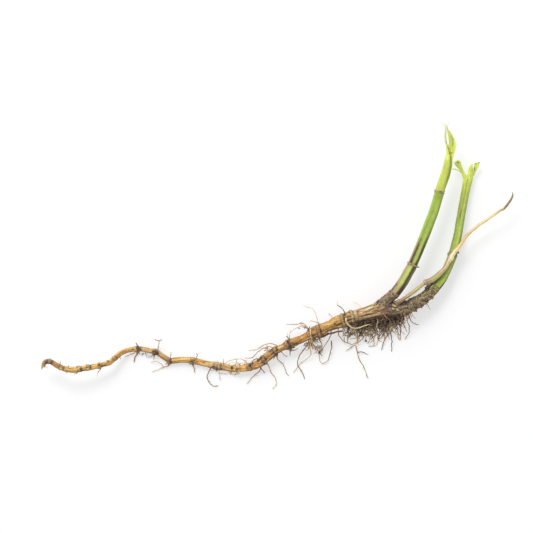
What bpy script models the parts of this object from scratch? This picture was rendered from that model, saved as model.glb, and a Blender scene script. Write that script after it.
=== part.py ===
"""Nettle root: a dug-up length of stinging nettle rootstock that lies on a flat surface.

Five solids, each its own object: the rootstock with its rootlets, the soil caked under its crown,
the tall stem, the split stem and the withered side shoot. Lengths below are in millimetres, with
+X along the root to the crown end, +Y towards the stems and +Z up from the surface it lies on.
"""

import math
import random

import bmesh
import bpy
from mathutils import Vector, noise

MM = 0.001
GAP = 0.45                # clearance cut between the soil and the rootstock above it
WELD = 0.01               # points closer than this are one
SHARP = math.radians(40)  # an edge between faces that turn more than this stays sharp
AXIS_SHARE = 0.2          # points nearer the line than this share of a tube's width stay put
SEED = 27

# Colour and roughness of each solid
BARK_COLOUR = (0.55, 0.33, 0.12)
SOIL_COLOUR = (0.09, 0.065, 0.04)
TALL_COLOUR = (0.34, 0.50, 0.08)
SPLIT_COLOUR = (0.40, 0.58, 0.10)
STRAW_COLOUR = (0.70, 0.55, 0.24)
BARK_ROUGHNESS = 0.65
EARTH_ROUGHNESS = 0.95
STEM_ROUGHNESS = 0.5
STRAW_ROUGHNESS = 0.6

# Faces round each kind of tube, and the spacing of its rings along the line
ROOTSTOCK_SIDES = 16
ROOTSTOCK_STEP = 1.9
STEM_SIDES = 12
STEM_STEP = 3.0
SHOOT_SIDES = 8
SHOOT_STEP = 2.6
ROOTLET_SIDES = 4

# Rootstock centreline from the broken tip to the foot of the split stem: x, y, height, diameter.
# The swellings are its joints. It touches the surface between x = -67 and x = -24.
ROOTSTOCK = (
    (-117.4, -54.6, 8.6, 1.2), (-116.8, -53.2, 9.6, 1.6), (-115.5, -52.4, 10.4, 1.9),
    (-113.8, -52.4, 10.9, 2.0), (-112.1, -53.1, 11.1, 2.3), (-110.2, -54.3, 11.2, 2.5),
    (-108.2, -55.3, 11.1, 2.6), (-106.2, -56.0, 10.9, 2.7), (-103.8, -56.4, 10.6, 2.8),
    (-100.8, -56.6, 10.1, 2.9), (-97.8, -56.2, 9.6, 2.7), (-94.8, -55.7, 9.0, 2.7),
    (-91.8, -55.2, 8.3, 2.7), (-88.8, -54.6, 7.5, 3.0), (-86.8, -54.0, 6.9, 2.6),
    (-84.8, -53.5, 6.2, 2.6), (-82.8, -52.4, 5.5, 2.5), (-81.0, -50.8, 4.8, 2.5),
    (-79.2, -49.2, 4.1, 2.4), (-77.2, -48.0, 3.4, 2.3), (-75.2, -47.2, 2.7, 2.2),
    (-72.8, -46.7, 2.0, 2.2), (-69.8, -46.4, 1.5, 2.7), (-66.8, -46.8, 1.2, 2.4),
    (-63.8, -47.4, 1.3, 2.6), (-61.2, -47.9, 1.5, 3.1), (-59.8, -48.4, 1.5, 2.7),
    (-57.8, -49.8, 1.5, 2.4), (-55.8, -51.1, 1.5, 2.4), (-53.8, -52.3, 1.5, 2.8),
    (-52.2, -52.2, 1.5, 2.8), (-48.8, -51.9, 1.5, 2.8), (-45.2, -52.0, 1.5, 2.9),
    (-42.8, -52.3, 1.6, 3.2), (-39.8, -52.9, 1.5, 3.1), (-36.8, -53.6, 1.5, 3.1),
    (-33.8, -54.2, 1.6, 3.2), (-31.2, -54.7, 1.7, 3.7), (-28.8, -55.1, 1.6, 3.4),
    (-25.8, -55.7, 1.6, 3.2), (-22.8, -56.2, 1.7, 3.1), (-19.8, -56.3, 1.9, 3.2),
    (-16.8, -56.1, 2.1, 3.4), (-13.8, -55.4, 2.5, 3.8), (-11.2, -54.6, 2.8, 3.8),
    (-9.2, -53.5, 3.1, 4.1), (-7.2, -52.1, 3.4, 4.5), (-5.2, -50.4, 3.6, 4.3),
    (-3.2, -48.8, 3.9, 4.1), (-1.2, -47.4, 4.1, 4.1), (0.8, -46.4, 4.3, 3.6),
    (2.8, -45.5, 4.5, 3.6), (4.8, -44.4, 4.7, 4.4), (6.2, -43.6, 4.9, 4.3),
    (8.2, -43.0, 5.1, 4.0), (10.8, -42.0, 5.3, 3.9), (13.2, -40.8, 5.5, 3.9),
    (15.2, -39.8, 5.7, 4.3), (16.8, -38.9, 5.9, 5.6), (19.2, -37.8, 6.1, 6.0),
    (21.8, -36.7, 6.3, 5.8), (24.2, -35.5, 6.5, 5.3), (27.2, -34.2, 6.7, 5.5),
    (30.2, -33.0, 6.9, 6.0), (32.8, -32.0, 7.1, 6.5), (34.8, -31.1, 7.3, 5.7),
    (36.8, -30.4, 7.4, 6.5), (39.2, -29.8, 7.6, 5.5), (42.2, -29.0, 7.7, 5.6),
    (45.8, -28.1, 7.8, 6.1), (49.2, -27.2, 7.8, 6.7), (53.2, -26.6, 7.8, 7.0),
    (56.8, -26.4, 7.7, 7.0), (60.2, -26.2, 7.6, 6.8), (63.8, -25.7, 7.4, 6.5),
    (67.2, -24.4, 7.2, 6.4), (70.8, -22.4, 7.0, 6.2), (73.8, -20.2, 6.7, 5.9),
    (76.8, -17.6, 6.4, 5.3), (79.2, -15.0, 6.2, 4.7),
)
CROWN_START = 36.0        # x where the rootstock becomes the furrowed crown
CRUST_START = 61.0        # x where the crown becomes the soil-crusted branch
CRUST_END = 76.0          # x where the branch is clean again, ahead of the split stem

# Relief of the bark. Wrinkles and lumps are a share of the radius, the depths are in mm, and the
# grains are how many lumps there are to a millimetre.
BARK_FOLDS = 5            # wrinkles and furrows round the rootstock
WRINKLES = 0.05
WRINKLE_TWIST = 0.25      # radians that the wrinkles turn in each mm of root
LUMPS = 0.10
LUMP_GRAIN = 0.45
FOOT_LUMPS = 0.16
FOOT_GRAIN = 0.7
FURROW_DEPTH = 0.28
FURROW_SWAY = 0.8         # radians that the furrows sway to each side
FURROW_SWAYS = 0.2        # radians of sway in each mm of root
CROWN_RISE = 8.0          # mm of root over which the crown's furrows deepen
CRUST_RISE = 5.0
CRUST_FALL = 2.0
CRUST_DEPTH = 1.1
CRUST_GRAIN = 0.55
WHITE_TIP = ((-117.1, -54.3, 8.8), (-117.5, -55.4, 8.2), (-117.7, -56.1, 7.8))
WHITE_TIP_THICKNESS = 0.8

# Woody foot of the tall stem and stub of the side shoot, both grown from the crown
TALL_FOOT = ((49.2, -26.6, 8.0, 5.6), (51.8, -24.4, 8.4, 5.8), (54.3, -22.2, 8.7, 5.5),
             (56.4, -20.4, 8.9, 5.2), (58.0, -18.8, 9.0, 5.3))
SHOOT_FOOT = ((57.9, -25.2, 9.0, 2.6), (59.2, -23.9, 10.2, 2.5), (60.4, -22.8, 10.7, 2.1))

# Bud scales on the crown: thickness at the base, then the line they follow. They are thinner at
# the middle and at the tip by these shares.
SCALE_TAPER = (1.0, 0.75, 0.2)
SCALE_SIDES = 6
BUD_SCALES = (
    (2.6, ((48.0, -25.6, 9.0), (49.6, -23.2, 9.8), (51.0, -21.4, 10.0))),
    (2.4, ((57.0, -25.6, 9.4), (58.6, -26.0, 10.6), (60.2, -26.6, 11.0))),
    (2.8, ((60.6, -25.0, 8.6), (62.8, -24.4, 9.6), (64.8, -23.6, 9.8))),
)

# Dark knots of root and dirt: x, y, height, diameter. Their surface is in and out by a share.
KNOT_ROUGHNESS = (0.85, 1.15)
KNOTS = (
    (-69.4, -47.4, 1.4, 2.2), (-61.4, -49.2, 1.1, 2.0), (-42.6, -53.6, 1.4, 1.6),
    (-13.4, -54.2, 3.8, 1.9), (-8.2, -51.0, 4.6, 2.2), (-6.6, -53.8, 3.6, 1.9),
    (-0.8, -49.0, 4.0, 2.2), (6.0, -45.8, 3.9, 2.6), (16.2, -37.0, 7.2, 1.9),
    (21.0, -48.0, 2.5, 1.7), (33.4, -34.4, 5.2, 2.6), (63.2, -24.0, 9.0, 3.0),
)

# Rootlets that grow from the rootstock: thickness, then the points of the line, which starts
# inside the rootstock and ends at the tip, where the rootlet is thinner by a share
ROOTLET_TAPER = 0.4
ROOTLETS = (
    (0.6, ((-108.1, -55.3, 11.3), (-108.0, -53.6, 12.4), (-108.0, -52.4, 12.8))),
    (0.6, ((-99.7, -56.4, 9.8), (-99.6, -58.0, 8.6), (-101.4, -59.0, 8.0))),
    (0.8, ((-88.3, -54.5, 7.4), (-88.2, -56.4, 6.0), (-89.7, -58.3, 5.2))),
    (0.6, ((-88.8, -54.6, 7.6), (-88.9, -52.6, 9.2))),
    (0.6, ((-78.7, -48.8, 3.8), (-78.6, -51.4, 2.6))),
    (0.6, ((-70.4, -46.6, 1.5), (-72.0, -48.7, 0.8), (-76.7, -50.3, 0.4))),
    (1.0, ((-69.6, -46.4, 1.8), (-69.8, -44.6, 3.2), (-70.6, -43.4, 4.0))),
    (1.1, ((-69.6, -46.8, 1.3), (-70.3, -49.2, 0.9), (-71.4, -51.0, 0.6), (-71.9, -53.2, 0.4))),
    (0.6, ((-62.2, -47.8, 1.4), (-62.9, -50.2, 0.7), (-65.3, -50.6, 0.4))),
    (0.7, ((-59.9, -48.4, 1.8), (-59.6, -46.2, 3.4), (-59.4, -44.2, 4.6), (-59.1, -42.1, 5.2))),
    (0.6, ((-61.1, -41.7, 5.4), (-59.1, -42.3, 5.1), (-57.3, -41.5, 5.6))),
    (0.7, ((-53.7, -52.2, 1.8), (-53.4, -50.2, 3.0), (-53.0, -48.2, 4.2))),
    (0.8, ((-53.4, -52.4, 1.4), (-54.6, -54.8, 0.9), (-57.1, -55.5, 0.5))),
    (0.6, ((-56.9, -55.5, 0.6), (-58.2, -54.0, 1.5), (-60.6, -52.6, 1.4), (-63.4, -53.1, 0.5))),
    (0.6, ((-56.9, -55.4, 0.5), (-59.4, -56.5, 0.4), (-62.5, -57.7, 0.4))),
    (0.6, ((-42.4, -52.3, 1.6), (-42.0, -55.0, 1.0), (-41.4, -58.5, 0.4))),
    (0.7, ((-41.0, -52.6, 1.8), (-40.6, -51.0, 3.2), (-40.0, -49.6, 4.4), (-40.4, -48.3, 5.2))),
    (0.6, ((-32.5, -54.5, 1.6), (-34.0, -57.0, 1.5), (-35.1, -60.6, 0.9), (-34.6, -62.4, 0.5),
           (-32.4, -64.9, 0.4), (-29.7, -64.8, 0.4))),
    (0.6, ((-29.0, -55.0, 1.6), (-29.2, -57.8, 1.2), (-28.9, -62.5, 0.4))),
    (0.6, ((-29.1, -58.6, 1.1), (-25.0, -59.0, 0.4))),
    (0.6, ((-27.5, -55.4, 1.9), (-25.2, -52.8, 3.5), (-22.1, -51.7, 3.8), (-18.2, -51.5, 3.2),
           (-16.3, -52.4, 2.4))),
    (0.6, ((-25.5, -55.2, 2.2), (-23.4, -53.3, 3.7), (-20.2, -53.5, 4.0))),
    (0.7, ((-19.6, -55.6, 2.2), (-19.5, -54.4, 3.5), (-19.3, -56.4, 4.0), (-19.4, -58.2, 2.6),
           (-21.0, -59.3, 1.0), (-24.0, -58.6, 0.5))),
    (0.7, ((0.6, -46.6, 4.4), (-0.7, -44.4, 5.8), (-4.0, -43.6, 6.2), (-7.9, -45.0, 5.2),
           (-10.2, -46.6, 4.2), (-14.3, -47.1, 2.8))),
    (0.7, ((-0.8, -47.2, 4.3), (-2.6, -45.6, 5.6), (-4.8, -45.2, 5.8), (-8.4, -46.7, 4.8),
           (-11.1, -49.4, 3.6), (-13.4, -50.8, 2.6), (-16.4, -51.2, 1.6))),
    (0.6, ((-3.2, -48.6, 4.2), (-4.4, -47.2, 5.2), (-6.4, -47.4, 5.2))),
    (0.9, ((-9.4, -52.8, 3.4), (-10.4, -51.2, 4.9), (-12.9, -53.0, 5.0))),
    (0.7, ((-8.6, -53.0, 3.0), (-8.3, -55.4, 2.6), (-10.2, -58.5, 1.3), (-13.0, -61.0, 0.6),
           (-15.0, -63.7, 0.4))),
    (0.8, ((-9.0, -53.4, 3.0), (-8.4, -55.8, 2.0), (-6.4, -58.4, 0.9))),
    (0.8, ((-6.0, -51.5, 3.4), (-4.6, -54.6, 2.8), (-3.2, -58.0, 1.6), (-0.8, -61.8, 0.6),
           (-0.6, -63.8, 0.4), (-2.4, -66.7, 0.4))),
    (0.7, ((-0.6, -47.2, 4.0), (0.1, -51.4, 2.8), (3.2, -54.9, 1.2), (4.3, -58.0, 0.5),
           (5.5, -59.9, 0.4))),
    (0.6, ((1.0, -46.4, 4.2), (2.1, -48.4, 3.0), (4.7, -50.4, 1.8))),
    (0.6, ((5.6, -44.4, 4.6), (6.4, -48.0, 2.8), (6.3, -49.8, 2.0))),
    (0.6, ((6.4, -45.6, 4.0), (7.2, -47.2, 3.0), (10.2, -46.2, 2.4))),
    (1.1, ((6.0, -43.6, 5.2), (5.8, -41.4, 6.6), (4.2, -40.0, 7.6))),
    (0.7, ((6.0, -42.4, 5.8), (5.8, -40.0, 7.0), (6.6, -37.9, 7.4), (8.4, -36.5, 6.8),
           (11.0, -35.3, 5.6))),
    (0.7, ((16.4, -38.6, 6.4), (15.4, -36.2, 8.0), (12.4, -33.4, 7.8), (9.8, -34.1, 6.8),
           (4.3, -34.2, 5.0))),
    (0.6, ((14.5, -35.4, 8.0), (12.8, -35.3, 7.4), (10.8, -34.7, 7.0))),
    (1.0, ((16.4, -38.0, 6.8), (15.9, -36.6, 8.6), (16.1, -35.0, 9.6))),
    (0.8, ((16.6, -38.4, 6.6), (16.0, -36.6, 8.7), (16.4, -38.7, 9.3), (16.9, -41.2, 7.6),
           (16.6, -42.7, 5.4))),
    (0.6, ((21.4, -36.6, 7.0), (20.4, -33.0, 8.6), (19.6, -30.2, 9.4), (18.4, -27.5, 9.8),
           (16.6, -25.9, 9.6), (13.5, -25.1, 9.0))),
    (0.6, ((20.8, -36.4, 7.0), (20.0, -33.2, 8.4), (16.6, -32.2, 7.6))),
    (1.0, ((33.6, -31.4, 7.8), (33.6, -28.4, 9.8), (32.0, -26.0, 10.8), (29.6, -24.5, 11.0))),
    (1.1, ((19.5, -38.4, 5.8), (21.4, -40.6, 4.8), (25.0, -39.1, 4.2), (29.2, -37.9, 4.0),
           (32.8, -37.5, 3.6))),
    (0.8, ((16.0, -39.2, 5.6), (14.9, -44.2, 4.2), (10.8, -50.3, 2.0), (10.0, -55.2, 0.8),
           (8.0, -58.4, 0.4))),
    (0.6, ((10.0, -54.8, 0.8), (12.8, -59.0, 0.4), (13.6, -61.5, 0.4))),
    (0.7, ((16.8, -39.5, 5.6), (16.3, -45.0, 3.8), (16.0, -50.1, 1.8), (11.2, -53.9, 0.6))),
    (0.7, ((17.6, -39.3, 5.6), (17.8, -44.6, 3.8), (20.8, -48.0, 2.4))),
    (0.6, ((20.2, -38.5, 5.8), (21.2, -42.0, 4.4), (22.4, -45.4, 3.2), (21.2, -47.8, 2.6))),
    (0.7, ((26.6, -35.6, 6.2), (26.4, -40.0, 4.4), (24.4, -43.4, 3.4), (21.2, -48.2, 2.4))),
    (0.6, ((26.9, -36.0, 5.8), (27.1, -45.0, 3.2), (26.0, -49.6, 1.8), (25.2, -52.2, 1.0),
           (22.9, -53.6, 0.6), (21.0, -52.0, 0.8), (20.8, -48.4, 2.2))),
    (0.7, ((33.0, -32.6, 6.4), (33.0, -37.9, 4.4), (34.0, -42.9, 1.6))),
    (0.7, ((30.4, -33.4, 6.2), (30.5, -39.0, 4.0), (33.2, -42.6, 2.0), (37.0, -44.2, 0.9),
           (39.0, -43.2, 0.5))),
    (1.0, ((34.0, -31.4, 8.4), (34.6, -33.0, 10.0), (36.0, -35.0, 8.8), (38.0, -36.1, 7.6),
           (41.2, -35.9, 7.2), (45.2, -34.0, 7.2))),
    (0.7, ((48.4, -26.6, 10.0), (49.6, -26.5, 11.5), (52.2, -28.0, 11.2), (54.2, -30.6, 9.7),
           (56.0, -32.6, 7.6), (56.3, -36.4, 6.2))),
    (0.8, ((60.4, -26.6, 9.4), (61.2, -28.2, 11.0), (61.8, -30.6, 9.4), (61.8, -34.0, 5.4),
           (61.4, -38.0, 2.2), (61.4, -41.9, 0.5))),
    (0.8, ((62.0, -26.4, 9.2), (62.9, -28.4, 10.4), (64.4, -31.4, 7.6), (65.8, -36.0, 3.6),
           (65.4, -39.0, 1.6), (63.3, -41.7, 0.4))),
    (0.8, ((65.0, -25.6, 7.0), (65.4, -29.6, 6.8), (67.4, -33.2, 3.2), (70.6, -34.4, 1.4))),
    (0.6, ((66.8, -25.0, 6.8), (67.2, -29.4, 5.6), (68.8, -31.3, 4.2))),
    (0.6, ((72.4, -20.8, 6.0), (74.6, -23.8, 3.6), (75.6, -26.2, 2.2))),
    (0.6, ((42.4, -28.6, 7.0), (41.0, -24.9, 5.2), (39.0, -23.4, 2.8), (37.4, -22.8, 0.8))),
    (0.6, ((27.6, -33.8, 6.2), (27.4, -30.6, 4.6), (26.2, -29.4, 2.0), (25.6, -28.8, 0.5))),
)

# Soil clump: the line of its middle with width and depth, pressed flat where it lies
SOIL = (
    (34.8, -34.0, 2.4, 3.4, 4.0), (37.6, -33.8, 2.7, 5.4, 5.6), (41.6, -33.2, 2.8, 6.6, 6.2),
    (46.0, -32.4, 2.9, 7.6, 6.4), (50.4, -31.6, 2.9, 8.4, 6.4), (54.6, -31.2, 2.9, 8.4, 6.4),
    (58.4, -30.9, 2.8, 7.4, 6.0), (61.4, -30.4, 2.5, 4.8, 4.6), (63.0, -30.2, 2.3, 2.2, 2.4),
)
SOIL_RINGS = 26
SOIL_SIDES = 16
SOIL_STEP = 1.0
SOIL_ROUGHNESS = 0.75
SOIL_GRAIN = 0.7          # clods to a millimetre
SOIL_CLODS_AT = (3, 1, 7) # where the clods fall
SOIL_CLOD_DRIFT = 0.4     # how far along the root a clod is pushed, as a share of its height
SOIL_END_FULLNESS = 1.6   # how soon the clump is at full width from its ends

# Rootlets that come out of the soil
SOIL_ROOTLETS = (
    (0.8, ((36.4, -34.0, 3.0), (35.2, -37.4, 3.8), (35.2, -43.3, 2.7))),
    (0.9, ((38.2, -34.4, 3.4), (38.8, -38.2, 3.4), (39.6, -41.9, 2.4), (39.1, -44.8, 1.7),
           (40.6, -50.8, 0.7), (43.5, -56.2, 0.5), (45.1, -61.3, 0.5))),
    (0.7, ((45.8, -34.2, 3.2), (45.2, -37.6, 3.0), (41.2, -42.4, 1.8), (34.3, -47.5, 0.5))),
    (0.6, ((44.2, -34.6, 2.6), (44.2, -38.9, 2.4), (44.0, -42.6, 1.2))),
    (0.8, ((49.2, -33.0, 4.4), (49.8, -33.4, 6.6), (49.2, -35.4, 6.0))),
    (0.8, ((55.4, -33.6, 2.8), (55.0, -38.4, 2.2), (53.0, -43.8, 0.9), (52.0, -47.0, 0.4))),
    (0.8, ((54.8, -33.4, 3.2), (55.8, -36.8, 3.6), (57.0, -40.4, 2.2), (57.0, -47.7, 0.4))),
    (0.8, ((57.2, -32.8, 3.0), (58.5, -35.4, 3.0), (60.4, -37.8, 1.6))),
    (0.6, ((47.6, -34.0, 2.4), (48.8, -39.0, 1.6), (48.0, -41.6, 0.8), (46.0, -43.5, 0.4))),
    (0.6, ((48.6, -33.6, 2.2), (50.2, -40.6, 1.0), (49.0, -44.8, 0.4), (45.4, -45.2, 0.4))),
    (0.6, ((39.9, -48.2, 1.2), (42.0, -48.0, 0.8), (45.2, -49.2, 0.4))),
    (0.6, ((42.4, -34.2, 3.2), (42.8, -38.0, 3.6), (39.8, -41.0, 3.0), (36.2, -41.4, 2.4))),
    (0.6, ((52.4, -33.0, 3.0), (52.6, -37.4, 2.8), (51.0, -40.2, 1.6), (50.6, -42.6, 0.8))),
    (0.6, ((59.6, -31.4, 2.6), (63.0, -34.2, 1.8), (64.4, -37.4, 0.8))),
)
SOIL_HAIRS = 12           # further short rootlets, drawn at random along the soil's outer foot
SOIL_HAIR_THICKNESS = 0.6
SOIL_HAIR_SPAN = (37.0, 56.0)
SOIL_HAIR_FOOT = -33.0    # y where they leave the soil
SOIL_HAIR_HEIGHT = (1.6, 3.6)
SOIL_HAIR_HEADING = (-130, -50)
SOIL_HAIR_LENGTH = (5.0, 8.5)
SOIL_HAIR_BEND = 0.55     # where along its length a hair bends, and by how much
SOIL_HAIR_LIFT = (-0.2, 0.6)
SOIL_HAIR_SWERVE = 1.2
SOIL_HAIR_TIP = (0.4, 2.2)
SOIL_CRUMBS = 34          # crumbs stuck to the clump, drawn at random
SOIL_CRUMB_DIAMETER = (1.0, 2.4)
SOIL_CRUMB_TURN = (-15, 125)      # degrees from the clump's outer side up over its top
SOIL_CRUMB_SINK = 0.92    # how far out from the middle a crumb sits, as a share
SOIL_CRUMB_LIMIT = 0.55   # the largest crumb, as a share of the clump's depth there
SOIL_CRUMB_LIFT = 0.62    # how high the lowest crumbs sit, as a share of their diameter
SOIL_SOLVER = "MANIFOLD"  # the exact solver leaves the clump touching itself along an edge

# Stubs of broken rootlets, drawn at random all round the rootstock
STUBS = 26
STUB_THICKNESS = 0.8
STUB_LENGTH = (0.7, 1.5)
STUB_SPAN = (0.03, 0.72)  # where the first stub is and how far the rest reach, as shares of length
STUB_LEAN = 0.4
STUB_SEAT = 0.3           # how far out from the middle a stub starts, as a share of the radius

# Thin rootlets that hang under the rootstock, drawn at random between these places along x
HANGERS = 14
HANGER_THICKNESS = 0.6
HANGER_SPANS = ((-10.0, 33.0), (64.0, 74.0))
HANGER_DRIFT = ((-2.5, 2.5), (-3.0, 3.5))     # how far they swing along x and y
HANGER_BEND = 0.6         # the shares of the swing at the bend and at the tip
HANGER_END = 1.3
HANGER_SAG = (0.3, 0.45)  # height of the bend as a share of the height of the start
HANGER_TIP = (0.4, 1.2)

# Stems: x, y, height, diameter. The joints are the fatter rings.
TALL_STEM = (
    (58.35, -18.4, 9.0, 4.8), (59.8, -16.7, 9.1, 4.9), (62.5, -12.8, 9.2, 5.0),
    (64.9, -8.5, 9.4, 5.0), (66.3, -6.1, 9.5, 4.9), (67.15, -4.4, 9.6, 5.4),
    (67.8, -2.9, 9.7, 4.8), (69.85, 2.0, 9.9, 4.7), (73.3, 10.5, 10.4, 4.7),
    (75.5, 16.4, 10.7, 4.7), (77.65, 22.1, 11.0, 4.5), (79.4, 27.8, 11.3, 4.4),
    (80.2, 30.6, 11.5, 4.4), (80.5, 32.1, 11.6, 5.0), (80.9, 33.6, 11.7, 4.5),
    (82.3, 37.8, 11.9, 4.4), (84.0, 43.0, 12.1, 4.2), (84.9, 46.6, 12.2, 3.6),
    (85.2, 48.8, 12.2, 2.6), (85.4, 50.0, 12.2, 1.6),
)
SPLIT_STEM = (
    (79.55, -14.65, 6.2, 4.6), (81.8, -11.7, 5.9, 4.5), (83.6, -8.4, 5.6, 4.4),
    (85.7, -3.7, 5.3, 4.4), (86.7, -1.2, 5.1, 4.5), (87.25, 0.5, 5.0, 5.0), (87.8, 2.2, 4.9, 4.4),
    (89.8, 9.8, 4.3, 4.3), (90.8, 15.5, 3.8, 4.2), (91.7, 20.7, 3.3, 4.1), (92.5, 24.9, 2.8, 4.1),
    (93.3, 29.3, 2.3, 4.1), (94.2, 34.0, 2.2, 4.2), (94.9, 37.4, 2.1, 4.4), (95.4, 40.0, 2.1, 2.6),
)
STEM_RIBS = 4
SQUARENESS = 0.07         # how far the ribs of a nettle stem stand out, as a share of radius
RIB_TURN = math.radians(45)   # a groove faces up, with a rib on each side of it
TORN_THICKNESS = 0.8      # thickness of the torn strips of stem wall

# Torn strips: x, y, height, width, tilt in degrees
TALL_STRIPS = (
    ((84.6, 46.0, 12.4, 3.4, 0), (84.7, 50.0, 12.6, 2.2, 0), (84.4, 53.0, 12.8, 1.1, 10),
     (83.6, 56.5, 13.0, 0.9, 20), (83.3, 59.5, 13.1, 0.9, 20), (83.4, 62.0, 13.3, 0.8, 10),
     (83.5, 63.9, 13.4, 0.8, 0), (82.8, 65.6, 13.6, 0.7, 0), (82.0, 66.7, 13.7, 0.6, 0)),
    ((85.2, 46.4, 11.9, 3.2, -5), (85.8, 50.8, 12.1, 3.6, -10), (86.4, 54.6, 12.4, 3.9, -10),
     (86.0, 57.0, 12.7, 2.2, -10), (85.3, 60.5, 13.0, 1.3, -5), (84.4, 63.5, 13.3, 0.9, 0),
     (84.0, 65.2, 13.4, 0.7, 0)),
    ((87.3, 52.8, 12.4, 1.6, -5), (87.8, 55.6, 12.7, 1.3, -10), (87.4, 57.6, 13.0, 1.1, -5),
     (86.6, 59.4, 13.2, 0.9, 0), (86.0, 61.0, 13.3, 0.8, 0), (85.4, 62.0, 13.4, 0.7, 0)),
)
SPLIT_STRIPS = (
    ((94.0, 36.6, 2.6, 2.3, 0), (93.4, 39.6, 3.2, 1.9, 10), (92.2, 42.2, 3.9, 1.6, 10),
     (91.2, 44.0, 4.3, 2.1, 15), (90.2, 45.7, 4.5, 3.0, 15), (89.2, 46.8, 4.6, 2.0, 10),
     (87.8, 46.7, 4.5, 0.7, 0)),
    ((93.2, 40.6, 3.2, 0.9, 0), (91.5, 41.8, 3.9, 0.9, 0), (90.3, 42.7, 4.0, 0.8, 0),
     (88.9, 43.2, 3.8, 0.8, 0), (87.6, 43.4, 3.6, 0.9, 0)),
    ((95.6, 37.0, 2.5, 3.0, 0), (96.2, 40.0, 2.8, 3.4, -10), (97.0, 42.4, 3.2, 3.8, -15),
     (98.0, 44.6, 3.6, 4.2, -15), (99.0, 46.2, 3.9, 3.2, -10), (100.6, 47.0, 4.1, 0.7, 0)),
)

# Withered side shoot: x, y, height, width, depth. It lies over the split stem.
SHOOT = (
    (60.95, -22.4, 10.85, 2.0, 2.0), (62.0, -21.8, 10.8, 1.8, 1.8), (64.6, -20.1, 10.5, 1.8, 1.6),
    (67.7, -17.8, 10.1, 1.8, 1.5), (70.8, -15.4, 9.8, 1.8, 1.5), (72.7, -13.9, 9.7, 1.9, 1.5),
    (73.6, -13.1, 9.7, 2.8, 1.7), (74.8, -12.7, 9.6, 2.6, 1.4), (77.2, -11.7, 9.5, 2.9, 1.3),
    (79.6, -9.9, 9.4, 2.9, 1.3), (81.7, -7.9, 9.2, 2.5, 1.3), (83.6, -5.9, 9.0, 2.1, 1.4),
    (84.8, -3.4, 8.9, 2.1, 1.5), (85.7, -1.9, 8.9, 2.5, 1.7), (86.3, -0.9, 8.9, 3.0, 1.9),
    (87.1, 0.4, 8.8, 2.4, 1.6), (88.2, 2.1, 8.6, 2.2, 1.5), (90.1, 4.0, 8.4, 2.1, 1.4),
    (91.6, 6.3, 8.3, 1.8, 1.3), (92.8, 8.3, 8.2, 1.7, 1.2), (94.8, 10.7, 8.2, 1.5, 1.1),
    (97.5, 13.2, 8.3, 1.4, 1.0), (100.6, 15.6, 8.5, 1.3, 1.0), (104.2, 18.0, 8.8, 1.2, 1.0),
    (107.5, 20.3, 9.2, 1.1, 0.9), (110.7, 22.6, 9.6, 1.1, 0.9), (112.9, 23.8, 9.8, 1.1, 0.9),
    (115.8, 27.6, 10.2, 1.0, 0.9), (116.9, 30.1, 10.4, 0.9, 0.8), (116.8, 31.7, 10.5, 0.8, 0.7),
)


class Line:
    """A smooth line through listed points, each with its place and one or more sizes."""

    def __init__(self, rows, step):
        self.places = []
        self.sizes = []
        for i in range(len(rows) - 1):
            ends = [rows[max(i - 1, 0)], rows[i], rows[i + 1], rows[min(i + 2, len(rows) - 1)]]
            length = (Vector(rows[i + 1][:3]) - Vector(rows[i][:3])).length
            count = max(1, round(length / step))
            for k in range(count):
                self._add([catmull_rom(values, k / count) for values in zip(*ends)])
        self._add(rows[-1])
        self.along = [0.0]
        for a, b in zip(self.places, self.places[1:]):
            self.along.append(self.along[-1] + (b - a).length)

    def _add(self, row):
        self.places.append(Vector(row[:3]))
        self.sizes.append(tuple(row[3:]))

    def nearest(self, point):
        """Foot of the perpendicular from a point, the direction there, its size and run."""
        best = None
        for i in range(len(self.places) - 1):
            a, b = self.places[i], self.places[i + 1]
            t = min(1.0, max(0.0, (point - a).dot(b - a) / (b - a).length_squared))
            foot = a.lerp(b, t)
            distance = (point - foot).length_squared
            if best is None or distance < best[0]:
                best = (distance, i, t, foot)
        _, i, t, foot = best
        direction = (self.places[i + 1] - self.places[i]).normalized()
        size = self.sizes[i][0] * (1 - t) + self.sizes[i + 1][0] * t
        run = self.along[i] * (1 - t) + self.along[i + 1] * t
        return foot, direction, size, run


def catmull_rom(values, t):
    """One number on the smooth curve between the middle two of four."""
    a, b, c, d = values
    return 0.5 * (2 * b + (c - a) * t + (2 * a - 5 * b + 4 * c - d) * t ** 2
                  + (3 * b - a - 3 * c + d) * t ** 3)


def smoothstep(low, high, value):
    """0 below low, 1 above high, and a smooth rise between."""
    t = min(1.0, max(0.0, (value - low) / (high - low)))
    return t * t * (3 - 2 * t)


def new_material(name, colour, roughness):
    """A plain Principled material."""
    material = bpy.data.materials.new(name)
    material.use_nodes = True
    shader = material.node_tree.nodes["Principled BSDF"]
    shader.inputs["Base Color"].default_value = (*colour, 1.0)
    shader.inputs["Roughness"].default_value = roughness
    shader.inputs["Metallic"].default_value = 0.0
    return material


def welded(name, source):
    """Turn a curve into a closed mesh object and remove the curve."""
    graph = bpy.context.evaluated_depsgraph_get()
    mesh = bpy.data.meshes.new_from_object(source.evaluated_get(graph))
    bm = bmesh.new()
    bm.from_mesh(mesh)
    bmesh.ops.remove_doubles(bm, verts=bm.verts, dist=WELD * MM)
    bmesh.ops.recalc_face_normals(bm, faces=bm.faces)
    bm.to_mesh(mesh)
    bm.free()
    result = bpy.data.objects.new(name, mesh)
    result.matrix_world = source.matrix_world
    bpy.context.scene.collection.objects.link(result)
    curve = source.data
    bpy.data.objects.remove(source)
    bpy.data.curves.remove(curve)
    result.name = name
    return result


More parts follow.
